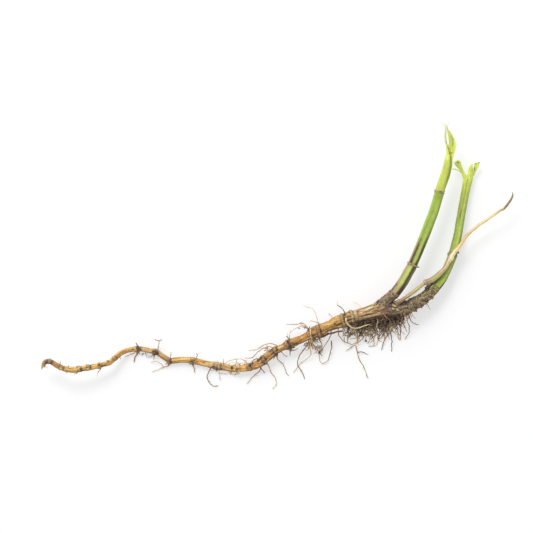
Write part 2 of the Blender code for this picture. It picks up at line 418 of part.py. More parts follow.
def curve_through(name, places, widths):
    """A curve object of straight runs, with the width of each point in its radius."""
    curve = bpy.data.curves.new(name, "CURVE")
    curve.dimensions = "3D"
    spline = curve.splines.new("POLY")
    spline.points.add(len(places) - 1)
    for point, place, width in zip(spline.points, places, widths):
        point.co = (*(place * MM), 1.0)
        point.radius = width / 2
    source = bpy.data.objects.new(name, curve)
    bpy.context.scene.collection.objects.link(source)
    return source


def tube(name, places, widths, sides):
    """A closed tube of the given diameters along a line."""
    source = curve_through(name, places, widths)
    source.data.bevel_depth = MM
    source.data.bevel_resolution = sides // 2 - 2
    source.data.use_fill_caps = True
    bpy.context.view_layer.update()
    return welded(name, source)


def strip(name, rows, thickness):
    """A torn strip of stem wall: a ribbon of changing width, given its thickness."""
    places = [Vector(row[:3]) for row in rows]
    source = curve_through(name, places, [row[3] for row in rows])
    source.data.extrude = MM
    source.data.twist_mode = "Z_UP"
    for point, row in zip(source.data.splines[0].points, rows):
        point.tilt = math.radians(90 + row[4])
    bpy.context.view_layer.update()
    ribbon = welded(name, source)
    solidify = ribbon.modifiers.new("thickness", "SOLIDIFY")
    solidify.thickness = thickness * MM
    solidify.offset = 0.0
    apply_modifiers(ribbon)
    return ribbon


def rootlet(name, thickness, places):
    """A thin root that tapers to its tip."""
    last = len(places) - 1
    widths = [thickness * (1.0 - ROOTLET_TAPER * i / last) for i in range(last + 1)]
    return tube(name, [Vector(place) for place in places], widths, ROOTLET_SIDES)


def knot(name, place, diameter, rng):
    """A small rough lump."""
    mesh = bpy.data.meshes.new(name)
    bm = bmesh.new()
    bmesh.ops.create_icosphere(bm, subdivisions=1, radius=diameter / 2 * MM)
    for vertex in bm.verts:
        vertex.co = vertex.co * rng.uniform(*KNOT_ROUGHNESS) + Vector(place) * MM
    bm.to_mesh(mesh)
    bm.free()
    lump = bpy.data.objects.new(name, mesh)
    bpy.context.scene.collection.objects.link(lump)
    return lump


def apply_modifiers(target):
    """Replace an object's mesh with the mesh its modifiers make."""
    bpy.context.view_layer.update()
    graph = bpy.context.evaluated_depsgraph_get()
    mesh = bpy.data.meshes.new_from_object(target.evaluated_get(graph))
    target.modifiers.clear()
    old = target.data
    target.data = mesh
    bpy.data.meshes.remove(old)


def remove_objects(objects):
    """Delete objects with their meshes."""
    for item in list(objects):
        mesh = item.data
        bpy.data.objects.remove(item)
        bpy.data.meshes.remove(mesh)


def boolean(target, operation, operands, solver="EXACT"):
    """One Boolean of a collection of operands on the target, applied."""
    group = bpy.data.collections.new("operands")
    bpy.context.scene.collection.children.link(group)
    for item in operands:
        group.objects.link(item)
    modifier = target.modifiers.new(operation.lower(), "BOOLEAN")
    modifier.operation = operation
    modifier.operand_type = "COLLECTION"
    modifier.collection = group
    modifier.solver = solver
    apply_modifiers(target)
    remove_objects(operands)
    bpy.data.collections.remove(group)


def signed_volume(faces):
    """Volume inside a group of faces: negative for the wall of a sealed pocket."""
    total = 0.0
    for face in faces:
        corners = [vertex.co for vertex in face.verts]
        for b, c in zip(corners[1:], corners[2:]):
            total += corners[0].dot(b.cross(c)) / 6.0
    return total


def keep_main_body(target):
    """Drop loose scraps and the walls of sealed pockets, so one closed body is left."""
    bm = bmesh.new()
    bm.from_mesh(target.data)
    left = set(bm.faces)
    bodies = []
    while left:
        front = [left.pop()]
        body = list(front)
        while front:
            face = front.pop()
            for edge in face.edges:
                for other in edge.link_faces:
                    if other in left:
                        left.remove(other)
                        front.append(other)
                        body.append(other)
        bodies.append(body)
    bodies.sort(key=signed_volume)
    for body in bodies[:-1]:
        bmesh.ops.delete(bm, geom=body, context="FACES")
    loose = [vertex for vertex in bm.verts if not vertex.link_faces]
    bmesh.ops.delete(bm, geom=loose, context="VERTS")
    bm.to_mesh(target.data)
    bm.free()


def press_flat(target):
    """Flatten what dips below the surface that the root lies on."""
    for vertex in target.data.vertices:
        vertex.co.z = max(vertex.co.z, 0.0)


def shape_surface(target, line, formula):
    """Push each vertex out from the line by formula(point, angle, run, radius), in mm."""
    for vertex in target.data.vertices:
        point = vertex.co / MM
        foot, direction, size, run = line.nearest(point)
        outward = point - foot
        side = direction.cross(Vector((0, 0, 1))).normalized()
        up = side.cross(direction)
        angle = math.atan2(outward.dot(side), outward.dot(up))
        if outward.length > AXIS_SHARE * size:
            outward.normalize()
            vertex.co = (point + outward * formula(point, angle, run, size / 2)) * MM


def finish(target, material, collection):
    """Move a finished object into the part's collection and give it its material."""
    target.data.materials.clear()
    target.data.materials.append(material)
    target.data.shade_smooth()
    target.data.set_sharp_from_angle(angle=SHARP)
    for owner in list(target.users_collection):
        owner.objects.unlink(target)
    collection.objects.link(target)


def rootstock_relief(point, angle, run, radius):
    """Long wrinkles, the crown's furrows and the crumbly crust of the branch."""
    wrinkle = WRINKLES * radius * math.cos(BARK_FOLDS * angle + WRINKLE_TWIST * run)
    lumps = LUMPS * radius * noise.noise(point * LUMP_GRAIN)
    crown = smoothstep(CROWN_START, CROWN_START + CROWN_RISE, point.x)
    crust = smoothstep(CRUST_START, CRUST_START + CRUST_RISE, point.x)
    clean = smoothstep(CRUST_END, CRUST_END + CRUST_FALL, point.x)
    sway = FURROW_SWAY * math.sin(FURROW_SWAYS * run)
    furrows = FURROW_DEPTH * math.cos(BARK_FOLDS * angle + sway) * crown
    crumbs = CRUST_DEPTH * noise.noise(point * CRUST_GRAIN)
    return wrinkle + lumps + furrows * (1 - crust) + crumbs * crust * (1 - clean)


def foot_relief(point, angle, run, radius):
    """The wrinkled bark of the woody feet."""
    return FOOT_LUMPS * radius * noise.noise(point * FOOT_GRAIN)


def make_rootstock_body(line, grow=0.0):
    """The bare rootstock, or a copy grown all round to leave room for what lies against it."""
    widths = [size[0] + 2 * grow for size in line.sizes]
    body = tube("rootstock", line.places, widths, ROOTSTOCK_SIDES)
    shape_surface(body, line, rootstock_relief)
    return body


def random_stubs(line, rng):
    """Short broken rootlets on all sides of the rootstock, closer together at its joints."""
    stubs = []
    for i in range(STUBS):
        run = line.along[-1] * (STUB_SPAN[0] + STUB_SPAN[1] * (i + rng.random()) / STUBS)
        index = min(range(len(line.along)), key=lambda k: abs(line.along[k] - run))
        place = line.places[index]
        radius = line.sizes[index][0] / 2
        direction = (line.places[index + 1] - place).normalized()
        turn = rng.uniform(0, 2 * math.pi)
        side = direction.cross(Vector((0, 0, 1))).normalized()
        outward = side * math.cos(turn) + side.cross(direction) * math.sin(turn)
        lean = direction * rng.uniform(-STUB_LEAN, STUB_LEAN)
        tip = place + outward * (radius + rng.uniform(*STUB_LENGTH)) + lean
        tip.z = max(tip.z, STUB_THICKNESS / 2)
        seat = place + outward * radius * STUB_SEAT
        stubs.append(rootlet(f"stub_{i}", STUB_THICKNESS, (seat, tip)))
    return stubs


def random_hangers(line, rng):
    """Thin rootlets that hang from the underside towards the surface."""
    hangers = []
    total = sum(high - low for low, high in HANGER_SPANS)
    for i in range(HANGERS):
        x = HANGER_SPANS[0][0] + total * (i + rng.random()) / HANGERS
        if x > HANGER_SPANS[0][1]:
            x += HANGER_SPANS[1][0] - HANGER_SPANS[0][1]
        start = min(line.places, key=lambda place: abs(place.x - x))
        drift = Vector((rng.uniform(*HANGER_DRIFT[0]), rng.uniform(*HANGER_DRIFT[1]), 0.0))
        middle = start + drift * HANGER_BEND
        middle.z = start.z * rng.uniform(*HANGER_SAG)
        tip = start + drift * HANGER_END
        tip.z = rng.uniform(*HANGER_TIP)
        hangers.append(rootlet(f"hanger_{i}", HANGER_THICKNESS, (start, middle, tip)))
    return hangers


def make_rhizome(line):
    """The rootstock with its foot of stem, bud scales, knots and rootlets, in one body."""
    rng = random.Random(SEED)
    body = make_rootstock_body(line)
    grown = []
    for name, rows in (("tall_foot", TALL_FOOT), ("shoot_foot", SHOOT_FOOT)):
        foot = Line(rows, ROOTSTOCK_STEP)
        grown.append(tube(name, foot.places, [size[0] for size in foot.sizes], STEM_SIDES))
        shape_surface(grown[-1], foot, foot_relief)
    grown.append(rootlet("white_tip", WHITE_TIP_THICKNESS, WHITE_TIP))
    for i, (thickness, places) in enumerate(BUD_SCALES):
        widths = [thickness * share for share in SCALE_TAPER]
        grown.append(tube(f"scale_{i}", [Vector(place) for place in places], widths, SCALE_SIDES))
    for i, row in enumerate(KNOTS):
        grown.append(knot(f"knot_{i}", row[:3], row[3], rng))
    for i, (thickness, places) in enumerate(ROOTLETS):
        grown.append(rootlet(f"rootlet_{i}", thickness, places))
    grown += random_stubs(line, rng)
    grown += random_hangers(line, rng)
    boolean(body, "UNION", grown)
    keep_main_body(body)
    press_flat(body)
    body.name = "rhizome"
    return body


def make_soil_body():
    """The caked lump: a ball drawn out along its line, roughened, and flat underneath."""
    rings = Line(SOIL, SOIL_STEP)
    mesh = bpy.data.meshes.new("soil")
    bm = bmesh.new()
    bmesh.ops.create_uvsphere(bm, u_segments=SOIL_SIDES, v_segments=SOIL_RINGS, radius=1.0)
    last = len(rings.places) - 1
    for vertex in bm.verts:
        share = 0.5 - 0.5 * vertex.co.z
        index = min(last - 1, int(share * last))
        blend = share * last - index
        place = rings.places[index].lerp(rings.places[index + 1], blend)
        width, depth = rings.sizes[index]
        section = Vector((vertex.co.x, vertex.co.y, 0.0))
        full = min(1.0, section.length * SOIL_END_FULLNESS)
        if section.length > 0:
            section.normalize()
        point = place + Vector((0, section.x * width / 2, section.y * depth / 2)) * full
        rough = SOIL_ROUGHNESS * noise.noise(point * SOIL_GRAIN + Vector(SOIL_CLODS_AT))
        point += Vector((SOIL_CLOD_DRIFT, section.x, section.y)) * rough
        vertex.co = point * MM
    bmesh.ops.recalc_face_normals(bm, faces=bm.faces)
    bmesh.ops.triangulate(bm, faces=bm.faces)
    bm.to_mesh(mesh)
    bm.free()
    body = bpy.data.objects.new("soil_clump", mesh)
    bpy.context.scene.collection.objects.link(body)
    press_flat(body)
    return body


def random_crumbs(rng):
    """Crumbs of soil stuck to the clump's outer side."""
    crumbs = []
    rings = Line(SOIL, SOIL_STEP)
    for i in range(SOIL_CRUMBS):
        index = int((len(rings.places) - 1) * (i + rng.random()) / SOIL_CRUMBS)
        width, depth = rings.sizes[index]
        turn = math.radians(rng.uniform(*SOIL_CRUMB_TURN))
        outward = Vector((0, -math.cos(turn) * width / 2, math.sin(turn) * depth / 2))
        place = rings.places[index] + outward * SOIL_CRUMB_SINK
        diameter = min(rng.uniform(*SOIL_CRUMB_DIAMETER), SOIL_CRUMB_LIMIT * depth)
        place.z = max(place.z, diameter * SOIL_CRUMB_LIFT)
        crumbs.append(knot(f"crumb_{i}", place, diameter, rng))
    return crumbs


def random_soil_hairs(rng):
    """Short rootlets that stick out of the soil's outer foot."""
    hairs = []
    for i in range(SOIL_HAIRS):
        share = (i + rng.random()) / SOIL_HAIRS
        x = SOIL_HAIR_SPAN[0] + (SOIL_HAIR_SPAN[1] - SOIL_HAIR_SPAN[0]) * share
        start = Vector((x, SOIL_HAIR_FOOT, rng.uniform(*SOIL_HAIR_HEIGHT)))
        heading = math.radians(rng.uniform(*SOIL_HAIR_HEADING))
        length = rng.uniform(*SOIL_HAIR_LENGTH)
        run = Vector((math.cos(heading), math.sin(heading), 0.0)) * length
        middle = start + run * SOIL_HAIR_BEND + Vector((0, 0, rng.uniform(*SOIL_HAIR_LIFT)))
        tip = start + run + Vector((rng.uniform(-SOIL_HAIR_SWERVE, SOIL_HAIR_SWERVE), 0, 0))
        tip.z = rng.uniform(*SOIL_HAIR_TIP)
        hairs.append(rootlet(f"hair_{i}", SOIL_HAIR_THICKNESS, (start, middle, tip)))
    return hairs


def make_soil_clump(line):
    """The soil with the rootlets that come out of it, cut clear of the rootstock above."""
    rng = random.Random(SEED + 1)
    body = make_soil_body()
    boolean(body, "UNION", random_crumbs(rng), SOIL_SOLVER)
    boolean(body, "DIFFERENCE", [make_rootstock_body(line, GAP)], SOIL_SOLVER)
    grown = [rootlet(f"soil_rootlet_{i}", thickness, places)
             for i, (thickness, places) in enumerate(SOIL_ROOTLETS)]
    grown += random_soil_hairs(rng)
    boolean(body, "UNION", grown, SOIL_SOLVER)
    keep_main_body(body)
    body.name = "soil_clump"
    return body


def stem_relief(point, angle, run, radius):
    """The blunt ribs of a nettle stem."""
    return SQUARENESS * radius * math.cos(STEM_RIBS * (angle - RIB_TURN))


def make_stem(name, rows, strips):
    """A ribbed stem whose far end is torn into strips."""
    line = Line(rows, STEM_STEP)
    body = tube(name, line.places, [size[0] for size in line.sizes], STEM_SIDES)
    shape_surface(body, line, stem_relief)
    torn = [strip(f"{name}_strip_{i}", points, TORN_THICKNESS) for i, points in enumerate(strips)]
    boolean(body, "UNION", torn)
    keep_main_body(body)
    press_flat(body)
    body.name = name
    return body


def make_shoot():
    """The dried side shoot: round at its foot, pressed thin where it lies over the stem."""
    line = Line(SHOOT, SHOOT_STEP)
    body = tube("withered_shoot", line.places, [size[0] for size in line.sizes], SHOOT_SIDES)
    depths = [size[1] / size[0] for size in line.sizes]
    for vertex in body.data.vertices:
        foot, _, _, run = line.nearest(vertex.co / MM)
        index = min(range(len(line.along)), key=lambda k: abs(line.along[k] - run))
        vertex.co.z = (foot.z + (vertex.co.z / MM - foot.z) * depths[index]) * MM
    return body


def main():
    for item in list(bpy.data.objects):
        bpy.data.objects.remove(item)
    collection = bpy.data.collections.new("nettle_root")
    bpy.context.scene.collection.children.link(collection)
    line = Line(ROOTSTOCK, ROOTSTOCK_STEP)
    bark = new_material("rootstock_bark", BARK_COLOUR, BARK_ROUGHNESS)
    earth = new_material("dry_soil", SOIL_COLOUR, EARTH_ROUGHNESS)
    green = new_material("green_stem", TALL_COLOUR, STEM_ROUGHNESS)
    pale_green = new_material("pale_green_stem", SPLIT_COLOUR, STEM_ROUGHNESS)
    straw = new_material("withered_straw", STRAW_COLOUR, STRAW_ROUGHNESS)
    finish(make_rhizome(line), bark, collection)
    finish(make_soil_clump(line), earth, collection)
    finish(make_stem("tall_stem", TALL_STEM, TALL_STRIPS), green, collection)
    finish(make_stem("split_stem", SPLIT_STEM, SPLIT_STRIPS), pale_green, collection)
    finish(make_shoot(), straw, collection)


main()
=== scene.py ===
import math
import random

import bpy
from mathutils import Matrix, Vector, noise


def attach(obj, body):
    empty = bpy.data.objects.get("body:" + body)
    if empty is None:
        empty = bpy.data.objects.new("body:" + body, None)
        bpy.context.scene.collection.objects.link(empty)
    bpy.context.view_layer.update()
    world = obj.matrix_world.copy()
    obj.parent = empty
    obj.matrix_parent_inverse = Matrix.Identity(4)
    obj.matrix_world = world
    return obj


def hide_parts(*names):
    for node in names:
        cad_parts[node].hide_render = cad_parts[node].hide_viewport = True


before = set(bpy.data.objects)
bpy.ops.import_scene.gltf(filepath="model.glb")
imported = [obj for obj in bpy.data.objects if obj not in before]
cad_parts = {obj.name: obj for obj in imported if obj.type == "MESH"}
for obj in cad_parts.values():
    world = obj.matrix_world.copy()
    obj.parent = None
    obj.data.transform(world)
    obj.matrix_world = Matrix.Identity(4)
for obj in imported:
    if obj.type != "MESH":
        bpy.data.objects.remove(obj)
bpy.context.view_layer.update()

noise.seed_set(5)                 # every run draws the same noise

# The table: a broad sheet of matt white board under the root. A window and the sky round it light
# it from the upper left, and the pale room from all sides. The camera hangs straight above it.
MM = 0.001
TABLE_SIZE = 12.0                 # metres, so that its edge is never seen
TABLE_DROP = 0.03                 # mm below the root, so that the two never share a surface
TABLE_WHITE = (0.430, 0.432, 0.436)
LAMPS = (                         # the way to each lamp, its strength and its spread in degrees
    ("window", (-0.46, 0.92, 1.05), 1.16, 20.0),
    ("sky", (-0.46, 0.95, 0.58), 1.70, 56.0),
)
ROOM_STRENGTH = 0.61
TABLE_GLOW = 0.53                 # the board glows a little by itself, which lightens the shadows cast on it
CAMERA_ABOVE = (-5.5, -5.25)      # mm, the middle of the picture
CAMERA_HEIGHT = 2000.0            # mm, so the lens is long and hardly any side is seen
PICTURE_WIDTH = 266.5             # mm of table across the picture
SENSOR_WIDTH = 36.0


class Wire:
    """One socket of a finish. Sums of wires and numbers add the nodes that work them out."""

    def __init__(self, tree, socket):
        self.tree = tree
        self.socket = socket

    def node(self, kind, settings, sockets, output=0):
        """Add any other node: its settings, a ramp's stops among them, then its sockets."""
        made = self.tree.nodes.new(kind)
        for name, value in settings.items():
            if name == "stops":
                while len(made.color_ramp.elements) < len(value):
                    made.color_ramp.elements.new(1.0)
                for element, (position, colour) in zip(made.color_ramp.elements, value):
                    element.position = position
                    element.color = (*colour, 1.0)
            else:
                setattr(made, name, value)
        for name, value in sockets.items():
            if isinstance(value, Wire):
                self.tree.links.new(value.socket, made.inputs[name])
            else:
                made.inputs[name].default_value = value
        return Wire(self.tree, made.outputs[output])

    def math(self, operation, a, b=0.0, clamp=False):
        settings = {"operation": operation, "use_clamp": clamp}
        return self.node("ShaderNodeMath", settings, {0: a, 1: b})

    def __add__(self, other):
        return self.math("ADD", self, other)

    def __sub__(self, other):
        return self.math("SUBTRACT", self, other)

    def __rsub__(self, other):
        return self.math("SUBTRACT", other, self)

    def __mul__(self, other):
        return self.math("MULTIPLY", self, other)

    __radd__ = __add__
    __rmul__ = __mul__

    def clamped(self):
        return self.math("ADD", self, 0.0, clamp=True)

    def rise(self, low, high):
        """0 below low, 1 above high, and smooth between. With low above high it falls."""
        sockets = {"Value": self, "From Min": low, "From Max": high}
        return self.node("ShaderNodeMapRange", {"interpolation_type": "SMOOTHSTEP"}, sockets)

    def stretched(self, x, y, z):
        """The same vector, longer or shorter along each axis."""
        return self.node("ShaderNodeVectorMath", {"operation": "MULTIPLY"}, {0: self, 1: (x, y, z)})

    def part(self, axis):
        return self.node("ShaderNodeSeparateXYZ", {}, {"Vector": self}, "XYZ".index(axis))

    def grain(self, scale, detail=3.0, roughness=0.55):
        """Cloudy noise, about 0 to 1, over this vector."""
        sockets = {"Vector": self, "Scale": scale, "Detail": detail, "Roughness": roughness}
        return self.node("ShaderNodeTexNoise", {}, sockets)

    def tones(self, listed):
        """The colour at this value, from (value, colour) pairs in rising order."""
        low, high = listed[0][0], listed[-1][0]
        stops = [((value - low) / (high - low), colour) for value, colour in listed]
        share = (self - low) * (1 / (high - low))
        return self.node("ShaderNodeValToRGB", {"stops": stops}, {"Fac": share})

    def kept(self, name, output=2):
        """What the points of the piece keep under a name: its number, or its vector with 1."""
        return self.node("ShaderNodeAttribute", {"attribute_name": name}, {}, output)

    def blend(self, under, over):
        """Mix two colours with this wire as the share of the second."""
        settings = {"data_type": "RGBA"}
        sockets = {0: self.clamped(), 6: solid(under), 7: solid(over)}
        return self.node("ShaderNodeMix", settings, sockets, 2)


def solid(colour):
    """A colour as a socket takes it."""
    return colour if isinstance(colour, Wire) else (*colour, 1.0)


def painted(colour, *coats):
    """A colour with coats over it: (share, colour) for each, the lowest first."""
    for share, paint in coats:
        colour = share.blend(colour, paint)
    return colour


def new_finish(name):
    """A material, its shader, and the place on the piece in millimetres as a wire."""
    material = bpy.data.materials.new(name)
    material.use_nodes = True
    tree = material.node_tree
    shader = tree.nodes["Principled BSDF"]
    coordinates = tree.nodes.new("ShaderNodeTexCoord")
    place = Wire(tree, coordinates.outputs["Object"]).stretched(1 / MM, 1 / MM, 1 / MM)
    return material, shader, place


def cover(piece, finish):
    """Give a piece its one material."""
    piece.data.materials.clear()
    piece.data.materials.append(finish)


def connect(shader, colour, roughness, height, relief):
    """Feed the shader its colour and roughness, and a bump of the relief given in mm."""
    settings, sockets = {}, {"Height": height, "Distance": relief * MM, "Strength": 1.0}
    bump = colour.node("ShaderNodeBump", settings, sockets)
    for name, wire in (("Base Color", colour), ("Roughness", roughness), ("Normal", bump)):
        colour.tree.links.new(wire.socket, shader.inputs[name])


bpy.ops.object.select_all(action="DESELECT")
bpy.ops.mesh.primitive_plane_add(size=TABLE_SIZE, location=(0, 0, 0))
table = bpy.context.active_object
table.name = "table"
for vertex in table.data.vertices:
    vertex.co.z -= TABLE_DROP * MM
board, shader, place = new_finish("white_board")
fibre = place.grain(0.8, 2.0)
grey_fibre = [0.985 * channel for channel in TABLE_WHITE]
connect(shader, fibre.blend(TABLE_WHITE, grey_fibre), 0.85 + 0.1 * fibre, fibre, 0.01)
# Painted light: the board glows, so the shadows on it come out lighter.
shader.inputs["Emission Color"].default_value = (1.0, 1.0, 1.0, 1.0)
shader.inputs["Emission Strength"].default_value = TABLE_GLOW
cover(table, board)

for name, towards, strength, spread in LAMPS:
    bpy.ops.object.light_add(type="SUN", location=(0, 0, 1))
    lamp = bpy.context.active_object
    lamp.name = name
    lamp.rotation_euler = Vector(towards).to_track_quat("Z", "Y").to_euler()
    lamp.data.energy = strength
    lamp.data.angle = math.radians(spread)

room = bpy.data.worlds.new("pale_room")
room.use_nodes = True
room.node_tree.nodes["Background"].inputs["Color"].default_value = (1.0, 1.0, 1.0, 1.0)
room.node_tree.nodes["Background"].inputs["Strength"].default_value = ROOM_STRENGTH
bpy.context.scene.world = room
bpy.context.scene.view_settings.view_transform = "Standard"

bpy.ops.object.camera_add(location=(CAMERA_ABOVE[0] * MM, CAMERA_ABOVE[1] * MM, CAMERA_HEIGHT * MM))
camera = bpy.context.active_object
camera.name = "camera"
camera.rotation_euler = (0.0, 0.0, 0.0)
camera.data.sensor_width = SENSOR_WIDTH
camera.data.lens = SENSOR_WIDTH * CAMERA_HEIGHT / PICTURE_WIDTH
camera.data.clip_start = 0.01
camera.data.clip_end = 30.0
bpy.context.scene.camera = camera


# The rootstock: one creeping underground stem, the nettle's rhizome, with golden corky bark. It
# grew as a chain of short lengths with a ringed joint between each two. Towards the crown it is
# older, thicker and furrowed, and its last stretch is a branch caked with dry soil.
ROOTSTOCK = (                     # x, y, height and diameter along the middle, from the tip
    (-116.7, -54.5, 8.9, 1.1), (-116.5, -53.7, 9.5, 1.9), (-115.5, -52.7, 10.2, 2.4),
    (-113.8, -52.3, 10.8, 2.5), (-112.1, -52.9, 11.0, 2.6), (-110.2, -54.2, 11.2, 2.7),
    (-108.2, -55.3, 11.1, 2.6), (-106.2, -56.0, 10.9, 2.7), (-103.8, -56.4, 10.6, 2.8),
    (-100.8, -56.6, 10.1, 2.9), (-97.8, -56.2, 9.6, 2.7), (-94.8, -55.7, 9.0, 2.7),
    (-91.8, -55.2, 8.3, 2.7), (-88.8, -54.6, 7.5, 3.0), (-86.8, -54.0, 6.9, 2.6),
    (-84.8, -53.5, 6.2, 2.6), (-82.8, -52.4, 5.5, 2.5), (-81.0, -50.8, 4.8, 2.5),
    (-79.2, -49.2, 4.1, 2.4), (-77.2, -48.0, 3.4, 2.3), (-75.2, -47.2, 2.7, 2.2),
    (-72.8, -46.7, 2.0, 2.2), (-69.8, -46.4, 1.5, 2.7), (-66.8, -46.8, 1.2, 2.4),
    (-63.8, -47.4, 1.3, 2.6), (-61.2, -47.9, 1.5, 3.1), (-59.8, -48.4, 1.5, 2.7),
    (-57.8, -49.8, 1.5, 2.4), (-55.8, -51.1, 1.5, 2.4), (-53.8, -52.3, 1.5, 2.8),
    (-52.2, -52.2, 1.5, 2.8), (-48.8, -51.9, 1.5, 2.8), (-45.2, -52.0, 1.5, 2.9),
    (-42.8, -52.3, 1.6, 3.2), (-39.8, -52.9, 1.5, 3.1), (-36.8, -53.6, 1.5, 3.1),
    (-33.8, -54.2, 1.6, 3.2), (-31.2, -54.7, 1.7, 3.7), (-28.8, -55.1, 1.6, 3.4),
    (-25.8, -55.7, 1.6, 3.2), (-22.8, -56.2, 1.7, 3.1), (-19.8, -56.3, 1.9, 3.2),
    (-16.8, -56.1, 2.1, 3.4), (-13.8, -55.4, 2.5, 3.8), (-11.2, -54.6, 2.8, 3.8),
    (-9.2, -53.5, 3.1, 4.1), (-7.2, -52.1, 3.4, 4.5), (-5.2, -50.4, 3.6, 4.3),
    (-3.2, -48.8, 3.9, 4.1), (-1.2, -47.4, 4.1, 4.1), (0.8, -46.4, 4.3, 3.6),
    (2.8, -45.5, 4.5, 3.6), (4.8, -44.4, 4.7, 4.4), (6.2, -43.6, 4.9, 4.3),
    (8.2, -43.0, 5.1, 4.0), (10.8, -42.0, 5.3, 3.9), (13.2, -40.8, 5.5, 3.9),
    (15.2, -39.8, 5.7, 4.3), (16.8, -38.9, 5.9, 5.6), (19.2, -37.8, 6.1, 6.0),
    (21.8, -36.7, 6.3, 5.8), (24.2, -35.5, 6.5, 5.3), (27.2, -34.2, 6.7, 5.5),
    (30.2, -33.0, 6.9, 6.0), (32.8, -32.0, 7.1, 6.5), (34.8, -31.1, 7.3, 5.7),
    (36.8, -30.4, 7.4, 6.5), (39.2, -29.8, 7.6, 5.5), (42.2, -29.0, 7.7, 5.6),
    (45.8, -28.1, 7.8, 6.1), (49.2, -27.2, 7.8, 6.7), (53.2, -26.6, 7.8, 7.0),
    (56.8, -26.4, 7.7, 7.0), (60.2, -26.2, 7.6, 6.8), (63.8, -25.7, 7.4, 6.5),
    (67.2, -24.4, 7.2, 6.4), (70.8, -22.4, 7.0, 6.2), (73.8, -20.2, 6.7, 5.9),
    (76.8, -17.6, 6.4, 5.3), (79.8, -14.4, 6.2, 4.5),
)
BARK_STEP = 0.36                  # mm between rings of the skin
BARK_SIDES = 52
JOINTS = (-113.6, -108.0, -98.4, -94.4, -88.8, -81.2, -69.6, -61.2, -53.9, -42.8, -31.2, -28.8,
          -14.0, -7.0, -1.0, 5.4, 16.6, 20.4, 32.9, 37.0, 39.4)
CROWN = (33.0, 41.0)              # x over which the smooth root turns into the furrowed crown
CRUST = (60.0, 66.0)              # x over which the crown turns into the soil-caked branch
CLEAN = (76.5, 79.5)              # x over which the caked branch turns into clean stem
OLD_BARK = (43.0, 53.0)           # x over which the bark gets too old to be bright
STAINS = (                        # x, y and reach of dark scars and holes in the bark
    (-115.0, -53.1, 1.0), (-112.6, -53.8, 0.8), (-98.0, -56.5, 0.8), (-94.6, -55.4, 0.7),
    (-88.7, -54.3, 1.1), (-84.0, -52.6, 0.6), (-69.4, -46.6, 1.5), (-61.0, -48.0, 1.6),
    (-59.8, -48.6, 0.9), (-54.0, -52.0, 1.0), (-53.4, -53.0, 0.8), (-42.8, -52.4, 1.2),
    (-31.5, -55.2, 1.0), (-22.7, -55.6, 1.1), (-20.4, -56.9, 1.0), (-13.9, -54.5, 1.2),
    (-12.6, -53.6, 0.6), (-8.2, -50.9, 1.0), (-7.2, -52.1, 0.8), (-6.6, -53.4, 0.9),
    (-0.2, -46.8, 0.8), (-0.7, -48.6, 1.1), (5.0, -43.0, 0.7), (6.2, -45.3, 1.4),
    (16.4, -39.6, 0.6), (21.8, -38.8, 0.8), (28.5, -34.0, 0.9), (33.2, -31.6, 1.0),
    (34.2, -30.6, 0.8),
)
BARK_TONES = (                    # x and colour of the bark there
    (-118.0, (0.83, 0.74, 0.448)), (-116.6, (0.54, 0.37, 0.123)), (-115.2, (0.30, 0.20, 0.146)),
    (-112.6, (0.30, 0.20, 0.140)), (-110.6, (0.60, 0.37, 0.112)), (-104.0, (0.76, 0.47, 0.112)),
    (-88.0, (0.78, 0.49, 0.123)), (-76.0, (0.75, 0.45, 0.112)), (-68.0, (0.54, 0.34, 0.146)),
    (-56.0, (0.52, 0.29, 0.095)), (-50.0, (0.78, 0.48, 0.123)), (-37.0, (0.76, 0.44, 0.101)),
    (-31.0, (0.60, 0.43, 0.213)), (-24.0, (0.72, 0.45, 0.146)), (-16.0, (0.69, 0.37, 0.078)),
    (-8.0, (0.56, 0.31, 0.090)), (6.0, (0.43, 0.24, 0.090)), (13.0, (0.58, 0.27, 0.050)),
    (22.0, (0.50, 0.28, 0.073)), (31.0, (0.52, 0.32, 0.078)), (34.4, (0.38, 0.23, 0.095)),
    (36.6, (0.61, 0.47, 0.212)), (39.6, (0.53, 0.41, 0.170)), (41.5, (0.54, 0.35, 0.179)),
    (49.0, (0.33, 0.23, 0.147)), (54.0, (0.20, 0.15, 0.113)), (60.0, (0.20, 0.15, 0.096)),
    (68.0, (0.24, 0.17, 0.109)), (76.0, (0.32, 0.23, 0.128)), (80.0, (0.30, 0.36, 0.070)),
)
BARK_RED = (0.36, 0.135, 0.03)
BARK_BROWN = (0.16, 0.072, 0.022)
BARK_PALE = (0.88, 0.65, 0.26)
BARK_GREY = (0.21, 0.15, 0.115)
BARK_DARK = (0.045, 0.026, 0.016)
CROWN_PINK = (0.34, 0.20, 0.11)
CROWN_CREAM = (0.66, 0.52, 0.29)
